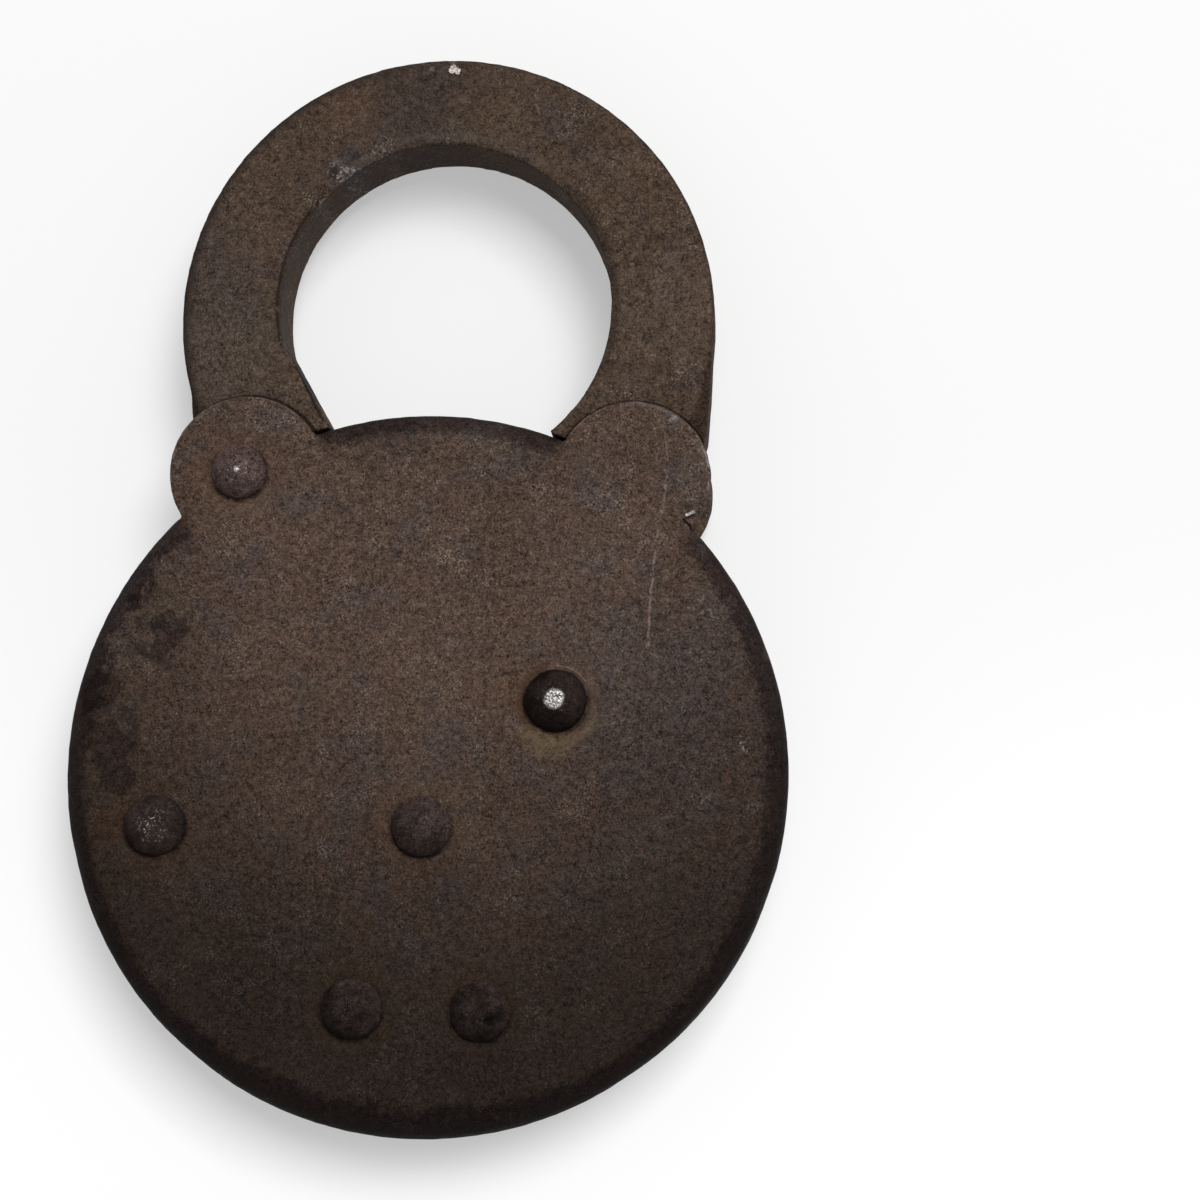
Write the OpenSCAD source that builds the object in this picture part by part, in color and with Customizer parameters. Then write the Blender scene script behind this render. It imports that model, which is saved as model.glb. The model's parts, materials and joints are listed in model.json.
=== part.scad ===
// Round six-lever padlock, lying on its front face with the riveted back upwards.
// X runs across the body, Y towards the top of the shackle, Z up through the thickness.
// Every place below is taken from the middle of the round body; seated() shifts it to the frame.

/* [Body] */
// Diameter of the round body
body_d = 63.5; // [56:0.5:78]
// Thickness of the body over both plates
body_t = 11; // [10:0.1:14]
// Thickness of the plate steel
sheet_t = 1.2; // [0.9:0.1:1.5]
// Outside radius of the drawn shoulder round the back
shoulder_r = 2.5; // [1.7:0.1:3.5]

/* [Ears] */
// Diameter of the two round ears
ear_d = 13.8; // [13:0.1:17]
// Angle of each ear up from the body's side
ear_a = 56.7; // [54:0.1:60]
// How far inside the rim the ears are centred
ear_inset = 0.6; // [0:0.1:1.5]

/* [Shackle] */
// Space between the shackle and each plate
side_gap = 0.3; // [0.2:0.05:0.4]
// Width of the shackle at its sides
shackle_w = 9.1; // [8:0.1:10]
// Width of the shackle at its crown
crown_w = 8; // [7:0.1:9]
// Reach of the shackle outside the ear centres
flare = 6.8; // [6:0.1:8]
// Height of the ring's centre above the ears
rise = 14.5; // [13:0.1:18]
// Rounding of the shackle's outer edges
shackle_edge = 0.9; // [0.4:0.1:1.5]
// Rounding of the edges of the shackle's eye
eye_edge = 0.4; // [0.2:0.05:1.2]
// Angle through which the shackle swings open
swing = 40; // [30:1:42]

/* [Rivets] */
// Diameter of the shackle's pivot rivet
pivot_d = 4; // [3:0.1:4.6]
// Diameter of the other rivets and posts
rivet_d = 3.5; // [2.8:0.1:3.9]
// Height of the rivet heads under the front plate
front_head_h = 2; // [1.8:0.1:2.6]
// Running clearance of a bore round its rivet
run_fit = 0.06; // [0.03:0.01:0.1]
// Clearance of a rivet set in a plate
set_fit = 0.02; // [0.01:0.01:0.03]

/* [Levers] */
// Space between neighbouring levers
lever_gap = 0.2; // [0.15:0.05:0.25]
// Radius of the window in which the key turns
window_r = 7.6; // [7:0.1:7.9]
/* [Latch] */
// Distance of the fence pin from the dog's pivot
fence_r = 8.5; // [8.3:0.1:8.8]
// Diameter of the fence pin
fence_d = 1.2; // [1:0.1:1.3]
// Turn of the dog for each degree of the shackle
dog_ratio = 1.2; // [1.15:0.01:1.25]

/* [Keyhole] */
// Diameter of the round of the keyhole
keyhole_d = 8; // [7.6:0.1:8.6]
// Width of the slot for the key's bits
bit_w = 2.2; // [1.8:0.1:2.6]
// Length of the slot over both bits
bit_span = 14.6; // [13.5:0.1:15]
// Thickness of the swinging keyhole cover
cover_t = 0.9; // [0.7:0.05:0.95]

/* [Hidden] */
$fn = 96;

// Heights, from the surface that the front rivet heads stand on
front_z = front_head_h;
floor_z = front_z + sheet_t;
roof_z = front_z + body_t - sheet_t;
back_z = front_z + body_t;
room = roof_z - floor_z;
past = 1;

// Clearances
wall_gap = 0.12;
slide_gap = 0.3;
face_gap = 0.05;

// Body and ears
body_r = body_d / 2;
ear_r = ear_d / 2;
ear_x = (body_r - ear_inset) * cos(ear_a);
ear_y = (body_r - ear_inset) * sin(ear_a);
left_ear = [-ear_x, ear_y];
right_ear = [ear_x, ear_y];
// Both ears of the plates sit a little to the right of the pivots
ear_shift = 0.55;
ear_middles = [left_ear + [ear_shift, 0], right_ear + [ear_shift, 0]];
plate_edge = 0.3;
plate_r = body_r - sheet_t - wall_gap;

// Shackle: a round eye set a little higher than the outer ring, so the crown is slimmer
ring_r = ear_x + flare;
eye_r = ring_r - shackle_w;
ring_shift = 0.65;
eye_shift = -0.15;
ring_c = [ring_shift, ear_y + rise];
eye_c = ring_c + [eye_shift, shackle_w - crown_w];
// Angles between which the left side of the eye runs straight
eye_flat = [194, 226];
shackle_t = room - 2 * side_gap;
shackle_z = floor_z + side_gap;
heel_inset = 0.75;
heel_r = ear_r - heel_inset;
throat_gap = 0.15;
throat_r = body_r + throat_gap;
mid_y = (ring_c[1] + ring_r - body_r) / 2;

// Toe, swung round the shackle's pivot, with the notch that the dog holds
toe_w = 9.2;
toe_inset = 2.35;
toe_out = 2 * ear_x + ear_r - toe_inset;
toe_in = toe_out - toe_w;
toe_drop = 10.85;
toe_low = -asin(toe_drop / (2 * ear_x));
toe_high = 12;
latch = right_ear + [0.1, -5.85];
latch_a = 54.2;
notch_gap = 0.45;
notch_h = 5;
notch_w = 9;
notch_fall = 11.15;

// Tail of the heel, which the shackle's spring pushes
tail_r = 13;
tail_w = 3.2;
tail_a = -105;
leaf_t = 0.8;
leaf_h = 5.5;
foot_a = 220;

// Key post, dog pivot and lever pivots
key_c = [0, ear_y - 30.95];
dog_c = right_ear - [5.7, 19.75];
lever_c = [5.55, key_c[1] - 15.8];
spring_c = left_ear - [6.2, 31.35];
rivet_r = rivet_d / 2;
bore_r = rivet_r + run_fit;
post_collar = 1.2;

// Rivet heads on the back: radius and height
shackle_head = [2.6, 1.5];
spring_head = [2.8, 1.8];
dog_head = [2.85, 2.1];
lever_head = [2.75, 1.3];
post_head = [2.75, 1.7];

// Dog
hub_r = 3.2;
dog_spring_h = 2.2;
dog_leaf_t = 0.5;
nose_leaf = [0.3, 9];
rim_leaf = [14, -5];
dog_z = shackle_z + dog_spring_h;
fence_a = 137;
dog_swing = swing * dog_ratio;
fence_end_a = fence_a + dog_swing;
arm_t = 1.25;
arm_w = 2.8;
arm_z = roof_z - slide_gap - arm_t;

// Levers
levers = 6;
lever_z = floor_z + 0.35;
lever_pitch = (arm_z - slide_gap - lever_z + lever_gap) / levers;
lever_t = lever_pitch - lever_gap;
ring_w = 2.6;
gate_w = fence_d + 0.5;
head_w = 5.2;
head_a = fence_a + 12;
boss_r = 3.3;
washer_r = 2.7;
strip_t = 0.3;
strip_r = 11.2;
strip_shift = [1.95, 2.2];
strip_span = [-28, 82];
belly_gap = 0.5;
belly_step = 0.45;

// Keyhole cover
cover_c = key_c + [0, 12.9];
cover_r = bit_span / 2 + 1.2;
cover_z = front_z - cover_t - face_gap;
cover_head = [2, 0.7];
cover_eye_r = 3;
cover_upset = 0.12;

// ---- Shared shapes ----

// Moves a piece from the body's middle to the frame
module seated() {
    translate([0, -mid_y, 0]) children();
}

// Puts a flat place at a height
module at(p, z = 0) {
    translate([p[0], p[1], z]) children();
}

// Disc with a rounded edge top and bottom
module rounded_disc(r, t, e) {
    rotate_extrude() {
        square([r - e, t]);
        translate([0, e]) square([r, t - 2 * e]);
        translate([r - e, e]) circle(e);
        translate([r - e, t - e]) circle(e);
    }
}

// Cutter for a round hole whose two mouths are rounded over
module rounded_hole(r, t, e) {
    rotate_extrude() {
        translate([0, -past]) square([r, t + 2 * past]);
        for (low = [true, false]) {
            translate([0, low ? -past : t - e])
                difference() {
                    square([r + e, e + past]);
                    translate([r + e, low ? e + past : 0]) circle(e);
                }
        }
    }
}

// Half section of a drawn cup, open below
module cup_section(r, t, s) {
    square([r - s, t]);
    square([r, t - s]);
    translate([r - s, t - s]) circle(s);
}

// Flat wedge from one angle to another
module wedge(r, a0, a1) {
    am = (a0 + a1) / 2;
    polygon([[0, 0], r * [cos(a0), sin(a0)], 1.5 * r * [cos(am), sin(am)], r * [cos(a1), sin(a1)]]);
}

// Part of a flat ring
module arc_band(r, w, a0, a1) {
    intersection() {
        difference() {
            circle(r + w / 2);
            circle(r - w / 2);
        }
        wedge(2 * r, a0, a1);
    }
}

// Dome of a rivet head, standing on z = 0
module dome(r, h) {
    ball = (r * r + h * h) / (2 * h);
    intersection() {
        translate([0, 0, h - ball]) sphere(ball);
        cylinder(r = r + past, h = h);
    }
}

// Rivet through both plates with a dome at each end
module through_rivet(p, shank_r, head) {
    at(p, front_z) cylinder(r = shank_r, h = body_t);
    at(p, back_z) dome(head[0], head[1]);
    at(p, front_z) mirror([0, 0, 1]) dome(head[0], front_head_h);
}

// Places of the four rivets that go through both plates beside the shackle's own
function rivet_places() = [spring_c, dog_c, lever_c, [-lever_c[0], lever_c[1]]];

// Holes for every rivet through a plate
module rivet_holes() {
    at(left_ear, front_z - past) cylinder(r = pivot_d / 2 + set_fit, h = body_t + 2 * past);
    for (p = rivet_places())
        at(p, front_z - past) cylinder(r = rivet_r + set_fit, h = body_t + 2 * past);
}

// ---- Body ----

// Drawn cup with two flat ears, the whole back of the lock
module back_plate() {
    color([0.33, 0.24, 0.18]) seated() difference() {
        union() {
            translate([0, 0, front_z]) rotate_extrude() cup_section(body_r, body_t, shoulder_r);
            for (p = ear_middles) at(p, roof_z) rounded_disc(ear_r, sheet_t, plate_edge);
        }
        translate([0, 0, front_z - past]) rotate_extrude()
            cup_section(body_r - sheet_t, body_t - sheet_t + past, shoulder_r - sheet_t);
        for (p = ear_middles)
            at(p, front_z - past) cylinder(r = ear_r + wall_gap, h = body_t - sheet_t + past);
        rivet_holes();
        at(key_c, front_z) cylinder(r = rivet_r + set_fit, h = body_t + past);
    }
}

// Flat plate inside the cup's rim, with ears to match and the keyhole
module front_plate() {
    color([0.30, 0.22, 0.17]) seated() difference() {
        union() {
            at([0, 0], front_z) rounded_disc(plate_r, sheet_t, plate_edge);
            for (p = ear_middles) at(p, front_z) rounded_disc(ear_r, sheet_t, plate_edge);
        }
        rivet_holes();
        at(key_c, front_z - past) cylinder(d = keyhole_d, h = sheet_t + 2 * past);
        at(key_c, front_z + sheet_t / 2) cube([bit_span, bit_w, sheet_t + 2 * past], center = true);
        at(cover_c, front_z - past) cylinder(r = rivet_r / 2 + set_fit, h = sheet_t + 2 * past);
    }
}

// ---- Shackle ----

// Flat outline of the notch that the dog's nose drops into
module notch_outline() {
    polygon([
        latch,
        latch + [0, notch_h - 1.4],
        latch + [-1.2, notch_h],
        latch + [-notch_w, notch_h],
        latch + [-notch_w - 3, -notch_fall],
        latch - notch_fall * [1 / tan(latch_a), 1]
    ]);
}

// Flat piece between the eye's circle and its straight left side
module eye_fill() {
    mid = (eye_flat[0] + eye_flat[1]) / 2;
    reach = eye_r + eye_edge + plate_edge;
    polygon([
        eye_r * [cos(eye_flat[0]), sin(eye_flat[0])],
        reach * [cos(eye_flat[0]), sin(eye_flat[0])],
        reach * [cos(mid), sin(mid)],
        reach * [cos(eye_flat[1]), sin(eye_flat[1])],
        eye_r * [cos(eye_flat[1]), sin(eye_flat[1])]
    ]);
}

// Flat ring with a round eye, a pivoted heel with a tail, and a notched toe
module shackle() {
    color([0.30, 0.25, 0.20]) seated() difference() {
        union() {
            difference() {
                at(ring_c, shackle_z) rounded_disc(ring_r, shackle_t, shackle_edge);
                at(eye_c, shackle_z) rounded_hole(eye_r, shackle_t, eye_edge);
                translate([0, 0, front_z]) cylinder(r = throat_r, h = body_t);
            }
            at(eye_c, shackle_z) linear_extrude(shackle_t) eye_fill();
            at(left_ear, shackle_z) rounded_disc(heel_r, shackle_t, plate_edge);
            at(left_ear, shackle_z + plate_edge) linear_extrude(shackle_t - 2 * plate_edge)
                polygon([[-5.4, 10], [-4.8, 5.5], [-4.6, 2.2], [1, 2.2], [1, 10]]);
            at(right_ear, shackle_z + plate_edge) linear_extrude(shackle_t - 2 * plate_edge)
                polygon([[7.3, 11.8], [7.2, 8.3], [6.95, 4.5], [6.5, 2.7], [5.5, 0.3], [3, 0.3], [3, 11.8]]);
            at(left_ear, shackle_z) linear_extrude(shackle_t) difference() {
                rotate(tail_a) translate([0, -tail_w / 2]) square([tail_r, tail_w]);
                circle(heel_r - 1);
            }
            at(left_ear, shackle_z) linear_extrude(shackle_t) difference() {
                arc_band((toe_out + toe_in) / 2, toe_out - toe_in, toe_low, toe_high);
                translate(-left_ear) notch_outline();
            }
        }
        at(left_ear, front_z) cylinder(r = pivot_d / 2 + run_fit, h = body_t);
    }
}

// ---- Rivets and posts ----

module shackle_rivet() {
    color([0.36, 0.27, 0.20]) seated() through_rivet(left_ear, pivot_d / 2, shackle_head);
}

module spring_rivet() {
    color([0.36, 0.27, 0.20]) seated() through_rivet(spring_c, rivet_r, spring_head);
}

module dog_rivet() {
    color([0.42, 0.34, 0.28]) seated() through_rivet(dog_c, rivet_r, dog_head);
}

module lever_rivet(side) {
    seated() through_rivet([side * lever_c[0], lever_c[1]], rivet_r, lever_head);
}

module lever_rivet_left() {
    color([0.36, 0.27, 0.20]) lever_rivet(-1);
}

module lever_rivet_right() {
    color([0.36, 0.27, 0.20]) lever_rivet(1);
}

// Post that the hollow key slides over, riveted into the back alone
module key_post() {
    color([0.36, 0.27, 0.20]) seated() {
        at(key_c, floor_z) cylinder(r = rivet_r, h = body_t - sheet_t);
        at(key_c, roof_z - arm_t) cylinder(r = rivet_r + post_collar, h = arm_t);
        at(key_c, back_z) dome(post_head[0], post_head[1]);
    }
}

// ---- Dog and fence ----

// Flat outline of the dog's nose, its under side sloped like the notch
module nose_outline() {
    tip = latch - [slide_gap, 0];
    polygon([
        dog_c + [2.9, 1.3],
        tip + [-3.6, notch_gap - 3.6 * tan(latch_a)],
        tip + [0, notch_gap],
        tip + [0, 1.5],
        tip + [-0.9, 2.4],
        tip + [-4.3, 2.4],
        tip + [-4.9, -0.7],
        dog_c + [-1.8, 2.7]
    ]);
}

// Locking dog: a hub, a nose in the toe's notch and a thin arm that carries the fence
module dog() {
    color([0.45, 0.42, 0.38]) seated() difference() {
        union() {
            at(dog_c, dog_z) cylinder(r = hub_r, h = shackle_t - dog_spring_h);
            translate([0, 0, dog_z]) linear_extrude(shackle_t - dog_spring_h) nose_outline();
            at(dog_c, arm_z) rotate(fence_a) linear_extrude(arm_t)
                translate([0, -arm_w / 2]) square([fence_r, arm_w]);
            at(dog_c, arm_z) rotate(fence_a) translate([fence_r, 0]) cylinder(d = arm_w, h = arm_t);
        }
        at(dog_c, front_z) cylinder(r = bore_r, h = body_t);
        at(dog_c, arm_z - past) rotate(fence_a) translate([fence_r, 0])
            cylinder(r = fence_d / 2 + set_fit, h = arm_t + 2 * past);
    }
}

// Fence pin, set in the dog's arm and reaching down past every lever
module fence_pin() {
    color([0.5, 0.47, 0.42]) seated() at(dog_c, lever_z - face_gap)
        rotate(fence_a) translate([fence_r, 0])
            cylinder(d = fence_d, h = arm_z + arm_t - lever_z + face_gap);
}

// Straight stretch of a flat spring from one place to another
module leaf(p, q, t) {
    translate(p) rotate(atan2(q[1] - p[1], q[0] - p[0]))
        translate([0, -t / 2]) square([norm(q - p), t]);
}

// Outline of a flat spring rolled round a rivet, with a leaf from its left side and one from its right
module rolled_spring(c, t, left_tip, right_tip) {
    eye = rivet_r + set_fit + t / 2;
    difference() {
        union() {
            translate(c) circle(eye + t / 2);
            leaf(c - [eye, 0], left_tip, t);
            leaf(c + [eye, 0], right_tip, t);
        }
        translate(c) circle(eye - t / 2);
    }
}

// Spring round the dog's rivet, under the hub, with one leaf along the nose
module dog_spring() {
    color([0.5, 0.45, 0.35]) seated() translate([0, 0, shackle_z + face_gap])
        linear_extrude(dog_spring_h - 2 * face_gap)
            rolled_spring(dog_c, dog_leaf_t, dog_c + nose_leaf, dog_c + rim_leaf);
}

// Spring round its own rivet, with one leaf on the shackle's tail and one against the rim
module shackle_spring() {
    tail = [cos(tail_a), sin(tail_a)];
    reach = tail_w / 2 + leaf_t / 2 + slide_gap;
    tip = left_ear + (tail_r - 1) * tail + reach * [tail[1], -tail[0]];
    foot = (body_r - sheet_t - leaf_t / 2 - face_gap) * [cos(foot_a), sin(foot_a)];
    color([0.45, 0.38, 0.30]) seated() translate([0, 0, floor_z + (room - leaf_h) / 2])
        linear_extrude(leaf_h) rolled_spring(spring_c, leaf_t, tip, foot);
}

// ---- Lever pack ----

// Odd levers hang on the left rivet and even ones on the right
function side_of(i) = i % 2 == 1 ? -1 : 1;

// An outline's points, kept counter-clockwise when the outline is mirrored to the left
function turned(side, points) =
    side > 0 ? points : [for (k = [len(points) - 1 : -1 : 0]) points[k]];

// Distance of each lever's belly from the key post, which is its share of the key's code
function belly_of(i) = window_r - belly_gap - belly_step * ((i * 2) % 5);

// Bow of a lever's flat spring: -1 for the left side and 1 for the right
module strip(side, w) {
    bow_c = [side * (lever_c[0] + strip_shift[0]), lever_c[1] + strip_shift[1]];
    span = side > 0 ? strip_span : [180 - strip_span[1], 180 - strip_span[0]];
    translate(bow_c) arc_band(strip_r, w, span[0], span[1]);
}

// Flat outline of one lever, with window, gate and pivot
module lever_outline(i) {
    s = side_of(i);
    pivot = [s * lever_c[0], lever_c[1]];
    difference() {
        union() {
            translate(pivot) circle(boss_r);
            translate(key_c) circle(window_r + ring_w);
            polygon(turned(s, [
                pivot + [s * 3.2, 0.6],
                key_c + [s * 9.2, -4],
                key_c + [-s * 4, -8.5],
                pivot + [-s * 3.2, -0.4]
            ]));
            translate(dog_c) arc_band(fence_r, head_w, head_a, fence_end_a + 14);
        }
        translate(pivot) circle(bore_r);
        intersection() {
            translate(key_c) circle(window_r);
            translate(key_c - [s < 0 ? belly_of(i) : 2 * window_r, 2 * window_r])
                square([belly_of(i) + 2 * window_r, 4 * window_r]);
        }
        translate(dog_c) arc_band(fence_r, gate_w, fence_a, fence_end_a);
        translate(dog_c + fence_r * [cos(fence_end_a), sin(fence_end_a)]) circle(d = gate_w);
        strip(s, strip_t + 2 * face_gap);
    }
}

module lever(i) {
    color([0.62, 0.50, 0.30]) seated() translate([0, 0, lever_z + (i - 1) * lever_pitch])
        linear_extrude(lever_t) lever_outline(i);
}

// Flat spring of one lever, bowed out towards the rim
module lever_spring(i) {
    color([0.55, 0.48, 0.38]) seated() translate([0, 0, lever_z + (i - 1) * lever_pitch])
        linear_extrude(lever_t) strip(side_of(i), strip_t);
}

// Washers that fill a rivet above, between and below the levers on it
module washers(side) {
    first = side < 0 ? 1 : 2;
    lows = [floor_z, for (k = [0 : 2]) lever_z + (first - 1 + 2 * k) * lever_pitch + lever_t];
    highs = [for (k = [0 : 2]) lever_z + (first - 1 + 2 * k) * lever_pitch, roof_z];
    seated() for (k = [0 : 3])
        at([side * lever_c[0], lever_c[1]], lows[k] + (k > 0 ? face_gap : 0)) difference() {
            h = highs[k] - lows[k] - (k > 0 ? face_gap : 0) - (k < 3 ? face_gap : 0);
            cylinder(r = washer_r, h = h);
            translate([0, 0, -past]) cylinder(r = rivet_r + set_fit, h = room + 2 * past);
        }
}

module washers_left() {
    color([0.5, 0.45, 0.4]) washers(-1);
}

module washers_right() {
    color([0.5, 0.45, 0.4]) washers(1);
}

// ---- Keyhole cover ----

// Drop-shaped plate that hangs over the keyhole
module keyhole_cover() {
    drop = cover_c[1] - key_c[1];
    color([0.34, 0.26, 0.20]) seated() at(key_c, cover_z) linear_extrude(cover_t) difference() {
        union() {
            circle(cover_r);
            translate([0, drop]) circle(cover_eye_r);
            polygon([[cover_r * 0.9, 2], [2.8, drop + 0.8], [-2.8, drop + 0.8], [-cover_r * 0.9, 2]]);
        }
        translate([0, drop]) circle(rivet_r / 2 + run_fit);
    }
}

// Small rivet that the cover turns on
module cover_rivet() {
    color([0.40, 0.32, 0.26]) seated() {
        at(cover_c, cover_z - face_gap) cylinder(r = rivet_r / 2, h = floor_z - cover_z + face_gap);
        at(cover_c, cover_z - face_gap) mirror([0, 0, 1]) dome(cover_head[0], cover_head[1]);
        at(cover_c, floor_z) cylinder(r = rivet_r / 2 + 0.5, h = cover_upset);
    }
}

back_plate();
front_plate();
shackle();
shackle_rivet();
spring_rivet();
dog_rivet();
key_post();
lever_rivet_left();
lever_rivet_right();
dog();
fence_pin();
dog_spring();
shackle_spring();
for (i = [1 : levers]) lever(i);
for (i = [1 : levers]) lever_spring(i);
washers_left();
washers_right();
keyhole_cover();
cover_rivet();
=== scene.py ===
"""Worn looks of a round six-lever padlock that lies on its front face.

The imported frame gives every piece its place. The worn case, shackle, plates and rivets are
modelled over it, every surface gets its finish, and the floor, light and camera are set.
Lengths are metres in Blender and millimetres wherever a name or a comment says mm.
"""

import contextlib
import json
import logging
import math
from dataclasses import dataclass
from enum import Enum
from typing import Callable, Iterator, Sequence

import bmesh
import bpy
import numpy as np
from mathutils import Matrix, Vector, noise

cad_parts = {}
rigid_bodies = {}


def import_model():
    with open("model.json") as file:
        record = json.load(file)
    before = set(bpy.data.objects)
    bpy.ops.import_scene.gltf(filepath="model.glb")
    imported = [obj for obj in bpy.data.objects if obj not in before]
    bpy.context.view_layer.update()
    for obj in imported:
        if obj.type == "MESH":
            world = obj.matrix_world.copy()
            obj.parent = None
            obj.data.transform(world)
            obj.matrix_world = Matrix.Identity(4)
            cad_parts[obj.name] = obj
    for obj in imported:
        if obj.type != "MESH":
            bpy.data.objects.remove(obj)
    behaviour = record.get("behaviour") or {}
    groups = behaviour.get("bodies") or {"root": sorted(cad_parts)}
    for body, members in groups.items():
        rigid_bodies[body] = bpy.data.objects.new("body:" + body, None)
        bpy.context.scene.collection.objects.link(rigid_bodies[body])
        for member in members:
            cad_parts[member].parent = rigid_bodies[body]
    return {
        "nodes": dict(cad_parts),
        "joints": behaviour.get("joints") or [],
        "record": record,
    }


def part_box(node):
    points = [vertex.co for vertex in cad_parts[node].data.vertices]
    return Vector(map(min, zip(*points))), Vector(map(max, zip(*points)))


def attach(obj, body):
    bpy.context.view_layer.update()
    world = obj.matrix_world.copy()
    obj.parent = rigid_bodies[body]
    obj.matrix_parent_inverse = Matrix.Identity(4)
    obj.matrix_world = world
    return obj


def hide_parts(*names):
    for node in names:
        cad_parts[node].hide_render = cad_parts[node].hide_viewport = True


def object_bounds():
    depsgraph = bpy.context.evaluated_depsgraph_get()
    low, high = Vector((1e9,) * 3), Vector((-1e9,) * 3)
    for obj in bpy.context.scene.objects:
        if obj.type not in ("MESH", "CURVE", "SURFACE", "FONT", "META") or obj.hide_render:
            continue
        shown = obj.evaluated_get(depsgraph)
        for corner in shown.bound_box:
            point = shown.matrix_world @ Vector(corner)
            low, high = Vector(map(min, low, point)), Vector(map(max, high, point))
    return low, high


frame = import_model()
CAD_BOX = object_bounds()

logging.basicConfig(level=logging.INFO, format="%(name)s: %(message)s")
log = logging.getLogger("padlock")

MM = 0.001
Colour = tuple[float, float, float]
Place = tuple[float, float]


# ---------------------------------------------------------------- Places from the frame


# How far both ears sit to the right of the pivots, in mm
EAR_SHIFT = 0.55

# Radius of each rivet's head on the back, in mm
HEAD_R = {"shackle_rivet": 2.6, "dog_rivet": 2.85, "spring_rivet": 2.8, "key_post": 2.75,
          "lever_rivet_left": 2.75, "lever_rivet_right": 2.75}

# Directions on the back, in degrees from the right
UPPER_RIGHT = 45.0
LOWER_LEFT = 235.0
BOTTOM = 262.0
STRAIGHT_DOWN = 270.0


@dataclass(frozen=True)
class Layout:
    """Where the lock's parts stand, in mm, read from the frame.

    Attributes:
        body: Middle of the round body.
        body_r: Radius of the round body.
        left_ear: Middle of the ear over the shackle's pivot.
        right_ear: Middle of the other ear.
        ear_r: Radius of both ears.
        ring: Middle of the shackle's outer ring.
        ring_r: Radius of the shackle's outer ring.
        eye: Middle of the shackle's round eye.
        front_z: Outer face of the front plate.
        back_z: Outer face of the back plate.
        shackle_top: Upper face of the shackle.
        rivets: Middle of each rivet's head, by node.
        tops: Height of each rivet's crown, by node.
    """

    body: Place
    body_r: float
    left_ear: Place
    right_ear: Place
    ear_r: float
    ring: Place
    ring_r: float
    eye: Place
    front_z: float
    back_z: float
    shackle_top: float
    rivets: dict[str, Place]
    tops: dict[str, float]

    @classmethod
    def read(cls, rivet_nodes: Sequence[str]) -> "Layout":
        """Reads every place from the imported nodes, joints and mount.

        Args:
            rivet_nodes: Names of the rivets whose heads show on the back.

        Returns:
            The layout in mm.
        """
        low, high = (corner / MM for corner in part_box("back_plate"))
        ring_low, ring_high = (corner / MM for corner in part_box("shackle"))
        front_low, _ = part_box("front_plate")
        pivot = next(j for j in frame["joints"] if j["name"] == "shackle_swing")["pos_m"]
        eye = next(m for m in frame["record"]["mounts"] if m["name"] == "shackle_eye")["pos_m"]
        body_r = (high.x - low.x) / 2
        ring_r = (ring_high.x - ring_low.x) / 2
        ear_x, ear_y = pivot[0] / MM, pivot[1] / MM
        boxes = {name: [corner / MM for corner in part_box(name)] for name in rivet_nodes}
        return cls(
            body=((high.x + low.x) / 2, low.y + body_r),
            body_r=body_r,
            left_ear=(ear_x + EAR_SHIFT, ear_y),
            right_ear=(EAR_SHIFT - ear_x, ear_y),
            ear_r=high.y - ear_y,
            ring=((ring_high.x + ring_low.x) / 2, ring_high.y - ring_r),
            ring_r=ring_r,
            eye=(eye[0] / MM, eye[1] / MM),
            front_z=front_low.z / MM,
            back_z=high.z,
            shackle_top=ring_high.z,
            rivets={n: ((a.x + b.x) / 2, (a.y + b.y) / 2) for n, (a, b) in boxes.items()},
            tops={name: b.z for name, (a, b) in boxes.items()},
        )


# ---------------------------------------------------------------- Modelling by hand


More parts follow.
